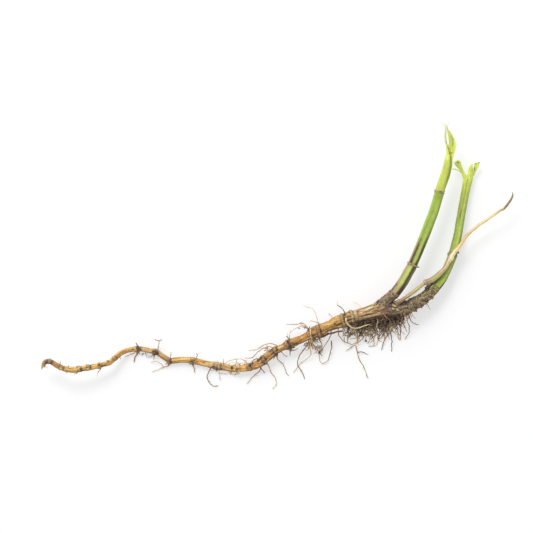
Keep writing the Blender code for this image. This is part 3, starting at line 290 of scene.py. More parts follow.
# The strips are the crown's own fibres, with painted light among them: the near-black strip at sine
# 0.74, on the flank away from the lamps, is painted shade, and the cream strips at negative sines, on
# the flank towards the lamps, are partly painted highlight.
CROWN_STRIPS = (                  # sine of the angle from the top, half width, x from and to, colour
    (-0.92, 0.12, 39.0, 48.0, (0.30, 0.14, 0.065)), (-0.72, 0.13, 41.5, 49.0, (0.80, 0.74, 0.36)),
    (-0.46, 0.12, 39.5, 50.0, (0.46, 0.26, 0.13)), (-0.28, 0.10, 40.0, 49.0, (0.80, 0.68, 0.40)),
    (-0.04, 0.13, 39.5, 51.0, (0.42, 0.25, 0.13)), (0.18, 0.11, 40.0, 50.0, (0.68, 0.54, 0.28)),
    (0.48, 0.14, 39.5, 46.5, (0.60, 0.58, 0.24)), (0.74, 0.12, 40.5, 52.0, (0.10, 0.07, 0.065)),
    (-0.30, 0.16, 50.5, 60.0, (0.16, 0.12, 0.10)), (0.10, 0.14, 50.0, 60.0, (0.050, 0.036, 0.034)),
    (0.45, 0.20, 50.5, 60.0, (0.17, 0.125, 0.09)), (-0.64, 0.20, 50.0, 59.5, (0.20, 0.155, 0.125)),
)
STRIP_FADE = 1.5                  # mm over which a strip fades at each end
CRUST_TAN = (0.50, 0.38, 0.225)
CRUST_PURPLE = (0.090, 0.055, 0.052)
CRUST_MOSS = (0.19, 0.215, 0.05)


UP = Vector((0, 0, 1))


def smooth_rows(rows, step=0.0, count=4):
    """Rows on the smooth curve through the listed ones: a step apart, or so many to each."""
    smooth = []
    for i in range(len(rows) - 1):
        ends = rows[max(i - 1, 0)], rows[i], rows[i + 1], rows[min(i + 2, len(rows) - 1)]
        if step:
            count = max(1, round((Vector(ends[2][:3]) - Vector(ends[1][:3])).length / step))
        for k in range(count):
            t = k / count
            smooth.append([0.5 * (2 * b + (c - a) * t + (2 * a - 5 * b + 4 * c - d) * t ** 2
                                  + (3 * b - a - 3 * c + d) * t ** 3)
                           for a, b, c, d in zip(*ends)])
    smooth.append(list(rows[-1]))
    return smooth


def runs_along(rows):
    """How far along its route each row lies."""
    runs = [0.0]
    for a, b in zip(rows, rows[1:]):
        runs.append(runs[-1] + (Vector(b[:3]) - Vector(a[:3])).length)
    return runs


def keep_values(piece, name, values):
    """Store a number for each point of a piece, for its finish to read."""
    stored = piece.data.attributes.new(name, "FLOAT", "POINT")
    stored.data.foreach_set("value", values)


def add_skin(name, rows, sides, relief, depth_column=None):
    """A closed skin round a route: a cylinder cut into rings, and each ring moved to its row.

    relief(place, angle, run, row) is how far the skin stands out, in mm. The angle is from the
    top, and positive to the right as seen along the route. The points keep their place round
    and along the skin, how far to the right they face, and their relief.
    """
    bpy.ops.object.select_all(action="DESELECT")
    bpy.ops.mesh.primitive_cylinder_add(vertices=sides, radius=1, depth=2, end_fill_type="TRIFAN",
                                        location=(0, 0, 0))
    piece = bpy.context.active_object
    piece.name = name
    corners = piece.data.vertices
    bpy.ops.object.mode_set(mode="EDIT")
    bpy.ops.mesh.select_mode(type="EDGE")
    bpy.ops.mesh.select_all(action="DESELECT")
    bpy.ops.object.mode_set(mode="OBJECT")
    for edge in piece.data.edges:
        edge.select = abs(corners[edge.vertices[0]].co.z - corners[edge.vertices[1]].co.z) > 1
    bpy.ops.object.mode_set(mode="EDIT")
    bpy.ops.mesh.subdivide_edgering(number_cuts=len(rows) - 2, interpolation="LINEAR")
    bpy.ops.object.mode_set(mode="OBJECT")

    middles = [Vector(row[:3]) for row in rows]
    runs = runs_along(rows)
    skin, aside, proud = [], [], []
    for vertex in piece.data.vertices:
        index = round((vertex.co.z + 1) / 2 * (len(rows) - 1))
        row = rows[index]
        ahead = middles[min(index + 1, len(rows) - 1)] - middles[max(index - 1, 0)]
        right = ahead.cross(UP).normalized()
        up = right.cross(ahead.normalized())
        angle = math.atan2(-vertex.co.x, vertex.co.y)
        flat = row[depth_column] / row[3] if depth_column else 1.0
        outward = right * math.sin(angle) + up * (math.cos(angle) * flat)
        push = relief(middles[index] + outward * (row[3] / 2), angle, runs[index], row)
        reach = (row[3] / 2 + push) * min(1.0, vertex.co.xy.length)
        vertex.co = (middles[index] + outward * reach) * MM
        vertex.co.z = max(vertex.co.z, 0.0)
        skin.extend((row[3] / 2 * math.sin(angle), row[3] / 2 * math.cos(angle), runs[index]))
        aside.append(math.sin(angle))
        proud.append(push)
    stored = piece.data.attributes.new("skin", "FLOAT_VECTOR", "POINT")
    stored.data.foreach_set("vector", skin)
    keep_values(piece, "aside", aside)
    keep_values(piece, "proud", proud)
    bpy.ops.object.shade_smooth()
    return piece


def spoke(angle):
    """The level unit vector at an angle."""
    return Vector((math.cos(angle), math.sin(angle), 0.0))


def ease(low, high, value):
    """0 below low, 1 above high, and a smooth rise between."""
    t = min(1.0, max(0.0, (value - low) / (high - low)))
    return t * t * (3 - 2 * t)


def bell(value, middle, width):
    """1 at the middle, falling away on both sides."""
    return math.exp(-((value - middle) / width) ** 2)


bark_rows = smooth_rows(ROOTSTOCK, BARK_STEP)
bark_runs = runs_along(bark_rows)
joint_runs = [bark_runs[min(range(len(bark_rows)), key=lambda i: abs(bark_rows[i][0] - x))]
              for x in JOINTS]


def from_joint(place, angle, run):
    """How far along the root a point is from the nearest joint, which runs unevenly round it."""
    joint = min(joint_runs, key=lambda joint: abs(run - joint))
    return run - joint + 0.35 * math.sin(angle + joint) + 0.30 * noise.noise(place * 0.9)


def bark_relief(place, angle, run, row):
    """Ringed joints, long wrinkles and pits; furrows on the crown; crumbs on the branch."""
    radius = row[3] / 2
    around = spoke(angle) * radius
    lengthwise = around * 1.2 + UP * (run * 0.12)
    fine = around * 3.2 + Vector((7, 0, run * 0.30))
    smooth = 0.12 * radius * noise.noise(place * 0.45) + 0.20 * radius * noise.noise(lengthwise)
    smooth += 0.07 * noise.noise(fine) + 0.05 * noise.noise(place * 2.6)
    smooth -= 0.30 * max(0.0, noise.noise(place * 1.1) - 0.30)
    away = from_joint(place, angle, run)
    ring = 0.20 * bell(away, 0, 0.6) - 0.19 * bell(away, 1.0, 0.28) - 0.13 * bell(away, -1.0, 0.26)
    smooth += (0.45 + 0.40 * radius) * ring
    wander = 0.9 * noise.noise(Vector((0.0, 3.0, run * 0.09)))
    ridges = math.cos(9 * (angle + wander * 0.5) + 1.2 * noise.noise(lengthwise * 1.5))
    furrows = 0.20 * ridges + 0.28 * noise.noise(around * 0.9 + Vector((0, 5, run * 0.10)))
    furrows += 0.18 * noise.noise(around * 2.4 + Vector((3, 5, run * 0.22)))
    crumbs = 0.95 * noise.noise(place * 0.55) + 0.45 * noise.noise(place * 1.3)
    crumbs += 0.22 * noise.noise(place * 3.0) - 0.1
    crown = ease(*CROWN, place.x)
    crust = ease(*CRUST, place.x) * (1 - ease(*CLEAN, place.x))
    return smooth * (1 - 0.6 * crown) + furrows * crown * (1 - crust) + crumbs * crust


rootstock = add_skin("rootstock", bark_rows, BARK_SIDES, bark_relief)
stain, crack, dull = [], [], []
for vertex, skin in zip(rootstock.data.vertices, rootstock.data.attributes["skin"].data):
    place = vertex.co / MM
    amount = 0.0
    for x, y, reach in STAINS:
        distance = math.hypot(place.x - x, place.y - y) + 0.5 * noise.noise(place * 1.1)
        amount = max(amount, 1 - ease(0.35 * reach, reach, distance))
    stain.append(amount)
    away = from_joint(place, math.atan2(skin.vector.x, skin.vector.y), skin.vector.z)
    crack.append(min(1.0, bell(away, 1.0, 0.30) + 0.7 * bell(away, -1.0, 0.28)))
    dull.append(bell(away, 0.2, 1.5) * ease(-0.35, 0.35, noise.noise(place * 0.7)))
keep_values(rootstock, "stain", stain)
keep_values(rootstock, "crack", crack)
keep_values(rootstock, "dull", dull)

bark, shader, place = new_finish("golden_bark")
skin = place.kept("skin", 1)
proud = place.kept("proud")
aside = place.kept("aside")
along = place.part("X")
on_crown = along.rise(*CROWN)
on_crust = along.rise(*CRUST)
bare_crown = on_crown * (1 - on_crust)
bright = 1 - 0.85 * along.rise(*OLD_BARK)
streaks = skin.stretched(1.0, 1.0, 0.13).grain(2.0, 4.0, 0.65)
red_streaks = skin.stretched(1.0, 1.0, 0.09).grain(1.3, 3.0, 0.55)
threads = skin.stretched(1.0, 1.0, 0.07).grain(4.5, 2.0, 0.6)
mottle = place.grain(0.9, 4.0, 0.6)
speckle = place.grain(4.5, 2.0, 0.5)
colour = painted(
    along.tones(BARK_TONES),
    (0.9 * streaks.rise(0.50, 0.66) * bright, BARK_PALE),
    (0.75 * red_streaks.rise(0.50, 0.62) * (1 - on_crust) * bright, BARK_RED),
    (0.65 * threads.rise(0.54, 0.64), BARK_BROWN),
    # painted shade: the lower side, away from the lamps, turns brown
    (0.75 * aside.rise(0.60, 0.98), BARK_BROWN),
    (0.60 * aside.rise(-0.70, -0.99), BARK_RED),
    (0.65 * mottle.rise(0.56, 0.70), BARK_BROWN),
    (bare_crown * bright * streaks.rise(0.50, 0.38), CROWN_PINK),
    (0.8 * bare_crown * bright * proud.rise(0.10, 0.32), CROWN_CREAM),
    # painted shade: the crown's lower side, away from the lamps, goes near black
    (0.85 * bare_crown * aside.rise(0.60, 0.92), BARK_DARK),
)
across = aside + 0.30 * (streaks - 0.5)
for middle, width, first, last, strip in CROWN_STRIPS:
    share = across.rise(middle - width, middle) * across.rise(middle + width, middle)
    share = share * along.rise(first, first + STRIP_FADE) * along.rise(last, last - STRIP_FADE)
    colour = (0.9 * share * (0.5 + streaks)).blend(colour, strip)
blotch = place.grain(0.95, 3.0, 0.6)
colour = painted(
    colour,
    (0.8 * place.kept("dull") * (0.4 + mottle), BARK_GREY),
    # painted shade: the bark is darkened in its hollows, pits and grooves
    (0.8 * proud.rise(-0.06, -0.30), BARK_DARK),
    (place.kept("crack") * (0.2 + mottle) * (1 - 0.5 * on_crown), BARK_DARK),
    (place.kept("stain") * (0.6 + 0.5 * speckle), BARK_DARK),
    (0.30 * speckle.rise(0.60, 0.75), BARK_PALE),
    (0.85 * on_crust * blotch.rise(0.50, 0.60), CRUST_TAN),
    (0.90 * on_crust * blotch.rise(0.46, 0.38), CRUST_PURPLE),
    (0.85 * on_crust * aside.rise(-0.30, -0.80) * (0.4 + mottle), CRUST_PURPLE),
    (0.85 * on_crust * place.grain(0.6, 3.0, 0.6).rise(0.58, 0.63), CRUST_MOSS),
)
connect(shader, colour, 0.46 + 0.3 * mottle + 0.2 * on_crown,
        streaks + 0.5 * threads + 0.6 * speckle + mottle, 0.12)
shader.inputs["Specular IOR Level"].default_value = 0.4
cover(rootstock, bark)
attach(rootstock, "root")
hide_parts("rhizome")


# The scars at the joints: dark lumps of dead scale and dirt, each with a ring of broken rootlet
# stubs. They are grown from the rootstock or stuck to it.
KNOTS = (                         # x, y, height, diameter, stubs
    (-108.2, -54.6, 11.6, 0.8, 1), (-98.0, -55.8, 10.2, 1.0, 2), (-94.6, -55.2, 9.4, 0.9, 1),
    (-88.6, -54.6, 7.8, 1.3, 2), (-84.6, -52.4, 6.8, 0.8, 1), (-80.8, -50.8, 4.2, 0.9, 2),
    (-69.6, -46.9, 1.9, 2.0, 7), (-69.9, -45.6, 2.5, 1.3, 3), (-61.0, -48.9, 1.7, 2.0, 6),
    (-61.6, -47.6, 2.4, 1.6, 4), (-54.0, -52.2, 1.9, 1.6, 4), (-53.6, -53.4, 1.2, 1.2, 3),
    (-42.6, -52.8, 2.2, 1.4, 3), (-42.6, -53.8, 1.3, 1.2, 3), (-31.6, -55.6, 2.4, 1.1, 3),
    (-29.0, -56.4, 1.4, 1.2, 3), (-22.7, -55.8, 2.9, 1.3, 2), (-20.5, -57.2, 2.2, 1.0, 2),
    (-13.8, -54.4, 4.2, 1.5, 3), (-12.4, -53.4, 4.2, 1.0, 2), (-8.0, -51.0, 4.8, 1.5, 3),
    (-6.6, -53.4, 4.2, 1.7, 4), (-9.4, -52.2, 4.8, 1.0, 2), (-0.8, -48.6, 4.6, 1.7, 4),
    (-0.2, -46.6, 5.8, 1.1, 2), (-0.4, -49.0, 4.0, 1.0, 3), (5.4, -42.6, 6.4, 1.2, 3),
    (6.2, -45.4, 4.8, 2.2, 7), (4.6, -46.2, 3.8, 1.3, 4), (8.0, -45.4, 4.0, 1.1, 3),
    (16.0, -37.0, 8.2, 1.4, 4), (17.4, -41.6, 4.0, 1.4, 4), (21.0, -40.4, 4.4, 1.4, 3),
    (33.2, -34.6, 5.4, 2.4, 5), (33.4, -29.2, 9.0, 1.3, 3), (21.0, -48.0, 2.5, 1.3, 3),
    (44.2, -42.4, 1.0, 1.1, 3), (-109.4, -53.7, 11.6, 0.7, 1), (-107.3, -54.4, 11.6, 0.7, 1),
    (-104.0, -54.9, 11.0, 0.7, 1), (-99.6, -55.3, 10.6, 0.6, 1), (-94.3, -54.4, 9.2, 0.8, 1),
    (-104.6, -57.6, 10.6, 0.6, 1), (-94.3, -56.9, 8.8, 0.8, 1), (-100.8, -57.0, 11.0, 0.5, 0),
    (-97.2, -56.0, 10.7, 0.6, 0), (-91.4, -55.6, 9.2, 0.5, 0), (-86.0, -54.6, 7.6, 0.5, 0),
)
KNOT_WIDTHS = (0.75, 1.15)        # in shares of a knot's diameter
STUB_LENGTH = (0.3, 1.2)
STUB_RISE = (-0.5, 0.9)
STUB_THICKNESS = (0.18, 0.38)
KNOT_BROWN = (0.19, 0.11, 0.055)
KNOT_BLACK = (0.030, 0.019, 0.013)
KNOT_TAN = (0.40, 0.26, 0.13)


def add_lump(name, place, size, roughness, subdivisions):
    """A rough lump: a ball pushed in and out by noise. The sizes are its three widths."""
    bpy.ops.object.select_all(action="DESELECT")
    bpy.ops.mesh.primitive_ico_sphere_add(subdivisions=subdivisions, radius=0.5, location=(0, 0, 0))
    lump = bpy.context.active_object
    lump.name = name
    for vertex in lump.data.vertices:
        flat = Vector((vertex.co.x * size[0], vertex.co.y * size[1], vertex.co.z * size[2]))
        bump = noise.noise(flat * (2.2 / max(size)) * 1.6 + Vector(place) * 3.7)
        bump += 0.5 * noise.noise(flat * (6.0 / max(size)) + Vector(place) * 1.3)
        vertex.co = (Vector(place) + flat * (1 + roughness * bump)) * MM
    bpy.ops.object.shade_smooth()
    return lump


def add_roots(name, roots, sides, wander, taper):
    """Thin tapering roots in one mesh: (thickness, points) each, drawn smooth with some wander."""
    bpy.ops.object.select_all(action="DESELECT")
    bpy.ops.object.add(type="CURVE", location=(0, 0, 0))
    bundle = bpy.context.active_object
    bundle.name = name
    bundle.data.dimensions = "3D"
    bundle.data.bevel_depth = MM
    bundle.data.bevel_resolution = max(0, sides // 2 - 2)
    bundle.data.use_fill_caps = True
    for number, (thickness, points) in enumerate(roots):
        rows = smooth_rows(points, 0.55)
        spline = bundle.data.splines.new("POLY")
        spline.points.add(len(rows) - 1)
        for i, (point, row) in enumerate(zip(spline.points, rows)):
            share = i / (len(rows) - 1)
            place = Vector(row)
            drift = noise.noise_vector(place * 0.45 + Vector((number, 0, 0))) * wander
            drift += noise.noise_vector(place * 1.7 + Vector((0, number, 0))) * wander * 0.4
            place += drift * min(1.0, i / 4)
            width = thickness * (1 - taper * share) * (1 + 0.22 * noise.noise(place * 2.3))
            place.z = max(place.z, width / 2)
            point.co = (*(place * MM), 1.0)
            point.radius = width / 2
    bpy.ops.object.convert(target="MESH")
    bpy.ops.object.shade_smooth()
    return bpy.context.active_object


def joined(name, pieces):
    """Several pieces as one mesh."""
    bpy.ops.object.select_all(action="DESELECT")
    for piece in pieces:
        piece.select_set(True)
    bpy.context.view_layer.objects.active = pieces[0]
    bpy.ops.object.join()
    pieces[0].name = name
    return pieces[0]


chance = random.Random(11)
lumps = []
stubs = []
for i, (x, y, height, diameter, count) in enumerate(KNOTS):
    sizes = [diameter * chance.uniform(*KNOT_WIDTHS) for axis in "xyz"]
    lumps.append(add_lump(f"knot_{i}", (x, y, height), sizes, roughness=0.5, subdivisions=3))
    for k in range(count):
        heading = chance.uniform(0, 2 * math.pi)
        rise = chance.uniform(*STUB_RISE)
        length = diameter * 0.45 + chance.uniform(*STUB_LENGTH)
        reach = Vector((math.cos(heading), math.sin(heading), rise)).normalized() * length
        tip = Vector((x, y, height)) + reach
        tip.z = max(tip.z, 0.3)
        bend = Vector((x, y, height)) + reach * 0.5 + UP * chance.uniform(-0.2, 0.3)
        stubs.append((chance.uniform(*STUB_THICKNESS), ((x, y, height), tuple(bend), tuple(tip))))
lumps.append(add_roots("stubs", stubs, sides=6, wander=0.15, taper=0.5))
knots = joined("joint_knots", lumps)
finish, shader, place = new_finish("dark_scale")
clod = place.grain(1.6, 4.0, 0.6)
flake = place.grain(5.0, 3.0, 0.6)
colour = painted(KNOT_BLACK, (clod.rise(0.42, 0.62), KNOT_BROWN),
                 (0.8 * flake.rise(0.55, 0.70), KNOT_TAN))
connect(shader, colour, 0.75 + 0.2 * flake, clod + 0.7 * flake, 0.18)
cover(knots, finish)
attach(knots, "root")
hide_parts("rhizome")


# The soil: a cake of dried dark earth packed under the crown between the rootlets. It is soft and
# crumbly, and loose crumbs are stuck all over it and to the branch above.
SOIL = (                          # x, y, height, width and depth along the middle
    (34.8, -34.0, 2.6, 3.0, 3.6), (37.6, -33.8, 2.9, 5.0, 5.4), (41.6, -33.2, 3.0, 6.4, 5.9),
    (46.0, -32.4, 3.1, 7.4, 6.1), (50.4, -31.6, 3.1, 8.2, 6.1), (54.6, -31.2, 3.1, 8.2, 6.1),
    (58.4, -30.9, 3.0, 7.2, 5.8), (61.4, -30.4, 2.7, 4.6, 4.4), (63.0, -30.2, 2.4, 2.0, 2.2),
)
SOIL_STEP = 0.3
SOIL_SIDES = 72
CRUMB_KINDS = 6
CRUMB_WIDTHS = (1.0, 0.8, 0.7)    # in shares of a crumb's size
CRUMBS = 700                      # crumbs on the cake
FLECKS = 380                      # paler bits of rotted leaf and bark in the soil
BRANCH_CRUMBS = 420               # crumbs on the caked branch
CRUMB_SIZE = (0.25, 1.45)
CRUMBS_FROM = 0.4                 # mm above the table, where crumbs begin to stick to the cake
BRANCH_CRUMBS_X = (CRUST[0] - 2.0, CLEAN[0] + 1.0)
SOIL_DARK = (0.034, 0.024, 0.018)
SOIL_BROWN = (0.255, 0.185, 0.128)
SOIL_TAN = (0.52, 0.40, 0.285)
LEAF_BROWN = (0.15, 0.095, 0.055)
LEAF_TAN = (0.44, 0.32, 0.19)
LEAF_DARK = (0.055, 0.034, 0.022)
CRUMB_TAN = (0.60, 0.47, 0.29)
CRUMB_RED = (0.34, 0.18, 0.13)
CRUMB_PURPLE = (0.115, 0.070, 0.064)
CRUMB_MOSS = (0.22, 0.25, 0.06)


def soil_relief(place, angle, run, row):
    """Clods with cracks between them, and crumbs on the clods."""
    clods = 1.5 * noise.noise(place * 0.42) + 1.1 * noise.noise(place * 0.95)
    return clods + 0.80 * noise.noise(place * 1.9) + 0.35 * noise.noise(place * 4.4) - 0.3


cake = add_skin("soil_cake", smooth_rows(SOIL, SOIL_STEP), SOIL_SIDES, soil_relief, 4)
kinds = []
for i in range(CRUMB_KINDS):
    spot = (i, 2 * i, 0)          # a lump's shape comes from its place, so each kind has its own
    kind = add_lump(f"crumb_kind_{i}", spot, CRUMB_WIDTHS, roughness=0.55, subdivisions=2)
    for vertex in kind.data.vertices:
        vertex.co -= Vector(spot) * MM
    kinds.append(kind)


def add_crumbs(name, places, rng):
    """Copies of the kinds of crumb at the places, each turned and sized by chance."""
    crumbs = []
    for i, place in enumerate(places):
        crumb = kinds[i % len(kinds)].copy()
        crumb.data = crumb.data.copy()
        bpy.context.scene.collection.objects.link(crumb)
        size = CRUMB_SIZE[0] + (CRUMB_SIZE[1] - CRUMB_SIZE[0]) * rng.random() ** 2.4
        crumb.rotation_euler = [rng.uniform(0, 2 * math.pi) for axis in "xyz"]
        crumb.scale = (size, size, size)
        crumb.location = place * MM
        crumbs.append(crumb)
    bunch = joined(name, crumbs)
    bpy.ops.object.transform_apply(location=True, rotation=True, scale=True)
    for vertex in bunch.data.vertices:
        vertex.co.z = max(vertex.co.z, 0.0)
    return bunch


chance = random.Random(12)
skins = [vertex.co / MM for vertex in cake.data.vertices if vertex.co.z > CRUMBS_FROM * MM]
crumbs = add_crumbs("soil_crumbs", [chance.choice(skins) for i in range(CRUMBS)], chance)
flecks = add_crumbs("soil_flecks", [chance.choice(skins) for i in range(FLECKS)], chance)
soil = joined("soil_clump_dressed", [cake, crumbs])
earth, shader, place = new_finish("dry_earth")
clod = place.grain(0.7, 4.0, 0.6)
crumb = place.grain(2.6, 4.0, 0.65)
grit = place.grain(7.0, 2.0, 0.6)
proud = place.kept("proud")
colour = painted(
    SOIL_DARK,
    (crumb.rise(0.42, 0.60), SOIL_BROWN),
    (clod.rise(0.42, 0.58) * grit.rise(0.46, 0.60), SOIL_TAN),
    # painted shade: the cracks between the clods are darkened
    (0.85 * proud.rise(-0.3, -0.9), SOIL_DARK),
    (0.6 * proud.rise(0.1, 0.7) * crumb.rise(0.40, 0.55), SOIL_TAN),
)
connect(shader, colour, 0.9 + 0.1 * grit, crumb + 0.5 * grit, 0.35)
shader.inputs["Specular IOR Level"].default_value = 0.2
cover(soil, earth)
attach(soil, "root")
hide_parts("soil_clump")

litter, shader, place = new_finish("rotted_leaf")
tint = place.grain(0.9, 3.0, 0.6)
spot = place.grain(5.0, 2.0, 0.6)
colour = painted(LEAF_BROWN, (tint.rise(0.40, 0.60), LEAF_TAN),
                 (0.6 * spot.rise(0.50, 0.66), LEAF_DARK))
connect(shader, colour, 0.8 + 0.2 * spot, spot + tint, 0.15)
cover(flecks, litter)
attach(flecks, "root")
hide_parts("soil_clump")

skins = [vertex.co / MM for vertex in rootstock.data.vertices
         if BRANCH_CRUMBS_X[0] < vertex.co.x / MM < BRANCH_CRUMBS_X[1]]
places = [chance.choice(skins) for i in range(BRANCH_CRUMBS)]
branch_crumbs = add_crumbs("branch_crumbs", places, chance)
for kind in kinds:
    bpy.data.objects.remove(kind)
crust, shader, place = new_finish("crusted_earth")
clod = place.grain(1.1, 3.0, 0.6)
moss = place.grain(0.6, 3.0, 0.6)
blush = place.grain(0.8, 3.0, 0.6)
grit = place.grain(5.0, 3.0, 0.6)
colour = painted(
    SOIL_DARK,
    (grit.rise(0.40, 0.62), SOIL_BROWN),
    (0.85 * clod.rise(0.46, 0.58), CRUMB_TAN),
    (0.7 * blush.rise(0.54, 0.62), CRUMB_RED),
    (0.9 * blush.rise(0.46, 0.38), CRUMB_PURPLE),
    (0.9 * moss.rise(0.55, 0.62), CRUMB_MOSS),
)
connect(shader, colour, 0.9 + 0.1 * grit, grit + clod, 0.25)
cover(branch_crumbs, crust)
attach(branch_crumbs, "root")
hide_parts("rhizome")


# The rootlets: hair-thin feeding roots that grow from the joints and out of the soil. The young
# ones are cream, and older ones turn ochre, grey-brown or wine red before they rot away.
CREAM_ROOTS = (
    (1.10, ((-116.8, -54.4, 8.9), (-116.9, -55.4, 8.2), (-117.5, -56.3, 7.7))),
    (0.90, ((-116.7, -54.1, 8.9), (-116.9, -55.0, 8.5), (-117.2, -56.0, 8.0))),
    (0.56, ((-99.7, -56.4, 9.8), (-99.6, -58.0, 8.6), (-101.4, -59.0, 8.0))),
    (0.51, ((-70.4, -46.6, 1.5), (-72.0, -48.7, 0.8), (-76.7, -50.3, 0.4))),
    (0.46, ((-56.9, -55.5, 0.6), (-58.2, -54.0, 1.5), (-60.6, -52.6, 1.4), (-63.4, -53.1, 0.5))),
    (0.46, ((-56.9, -55.4, 0.5), (-59.4, -56.5, 0.4), (-62.5, -57.7, 0.4))),
    (0.36, ((-29.0, -55.0, 1.6), (-29.2, -57.8, 1.2), (-28.9, -62.5, 0.4))),
    (0.36, ((-29.1, -58.6, 1.1), (-25.0, -59.0, 0.4))),
    (0.51, ((-27.5, -55.4, 1.9), (-25.2, -52.8, 3.5), (-22.1, -51.7, 3.8), (-18.2, -51.5, 3.2),
            (-16.3, -52.4, 2.4))),
    (0.46, ((-25.5, -55.2, 2.2), (-23.4, -53.3, 3.7), (-20.2, -53.5, 4.0))),
    (0.51, ((-19.6, -55.6, 2.2), (-19.5, -54.4, 3.5), (-19.3, -56.4, 4.0), (-19.4, -58.2, 2.6),
            (-21.0, -59.3, 1.0), (-24.0, -58.6, 0.5))),
    (0.61, ((-6.0, -51.5, 3.4), (-4.6, -54.6, 2.8), (-3.2, -58.0, 1.6), (-0.8, -61.8, 0.6),
            (-0.6, -63.8, 0.4), (-2.4, -66.6, 0.4))),
    (0.56, ((6.0, -42.4, 5.8), (5.8, -40.0, 7.0), (6.6, -37.9, 7.4), (8.4, -36.5, 6.8),
            (11.0, -35.3, 5.6))),
    (0.70, ((16.6, -38.4, 6.6), (16.0, -36.6, 8.7), (16.4, -38.7, 9.4), (16.9, -41.2, 7.6),
            (16.6, -42.7, 5.4))),
    (0.61, ((16.8, -39.5, 5.6), (16.3, -45.0, 3.8), (16.0, -50.1, 1.8), (11.2, -53.9, 0.6),
            (8.0, -58.4, 0.4))),
    (0.56, ((17.6, -39.3, 5.6), (17.8, -44.6, 3.8), (20.8, -48.0, 2.4))),
    (0.51, ((25.2, -52.2, 1.0), (22.9, -53.6, 0.6), (21.0, -52.0, 0.8), (20.8, -48.4, 2.2))),
    (0.66, ((33.0, -32.6, 6.4), (33.0, -37.9, 4.4), (33.6, -42.9, 1.6))),
    (0.46, ((66.8, -25.0, 6.8), (67.2, -29.4, 5.6), (68.8, -31.3, 4.2))),
    (0.74, ((38.2, -34.4, 3.4), (38.8, -38.2, 3.4), (39.6, -41.9, 2.4), (39.1, -44.8, 1.7))),
    (0.74, ((49.4, -30.6, 6.4), (49.8, -32.2, 7.0), (49.2, -35.4, 6.0))),
    (0.36, ((21.4, -36.6, 7.0), (20.4, -33.0, 8.6), (19.6, -30.2, 9.4), (18.4, -27.5, 9.8),
            (16.6, -25.9, 9.6), (13.5, -25.1, 9.0))),
    (0.36, ((42.4, -28.6, 7.0), (41.0, -24.9, 5.2), (39.0, -23.4, 2.8), (37.4, -22.8, 0.8))),
    (0.95, ((34.2, -30.8, 9.6), (34.0, -32.0, 9.8), (34.8, -33.6, 9.4), (36.2, -35.0, 8.6),
            (38.2, -36.0, 7.8), (41.2, -35.6, 7.4), (43.4, -34.6, 7.2), (46.0, -34.0, 7.0))),
    (0.85, ((-116.9, -53.8, 9.0), (-117.3, -54.9, 8.4), (-117.6, -55.9, 8.0))),
)
OCHRE_ROOTS = (
    (0.56, ((0.6, -46.6, 4.4), (-0.7, -44.4, 5.8), (-4.0, -43.6, 6.2), (-7.9, -45.0, 5.2),
            (-10.2, -46.6, 4.2), (-14.3, -47.1, 2.8))),
    (0.56, ((-0.8, -47.2, 4.3), (-2.6, -45.6, 5.6), (-4.8, -45.2, 5.8), (-8.4, -46.7, 4.8),
            (-11.1, -49.4, 3.6), (-13.4, -50.8, 2.6), (-16.4, -51.2, 1.6))),
    (0.51, ((-3.2, -48.6, 4.2), (-4.4, -47.2, 5.2), (-6.4, -47.4, 5.2))),
    (0.61, ((-8.6, -53.0, 3.0), (-8.3, -55.4, 2.6), (-10.2, -58.5, 1.3), (-13.0, -61.0, 0.6),
            (-15.0, -63.7, 0.4))),
    (0.56, ((39.1, -44.8, 1.7), (40.6, -50.8, 0.7), (43.5, -56.2, 0.5), (45.1, -61.3, 0.5))),
    (0.61, ((45.8, -34.2, 3.2), (45.2, -37.6, 3.0), (41.2, -42.4, 1.8), (34.3, -47.5, 0.5))),
    (0.56, ((48.4, -26.6, 10.6), (49.6, -26.5, 11.5), (52.2, -28.0, 11.2), (54.2, -30.6, 9.7),
            (56.0, -32.6, 7.6), (56.3, -36.4, 6.2))),
    (0.61, ((62.0, -26.4, 9.2), (62.9, -28.4, 10.4), (64.4, -31.4, 7.6), (65.8, -36.0, 3.6),
            (65.4, -39.0, 1.6), (63.3, -41.7, 0.4))),
    (0.56, ((30.4, -33.4, 6.2), (30.5, -39.0, 4.0), (33.2, -42.6, 2.0), (37.0, -44.2, 0.9),
            (39.0, -43.2, 0.5))),
    (0.51, ((42.4, -34.2, 3.2), (42.8, -38.0, 3.6), (39.8, -41.0, 3.0), (36.2, -41.4, 2.4))),
    (0.46, ((20.8, -36.4, 7.0), (20.0, -33.2, 8.4), (16.6, -32.2, 7.6))),
)
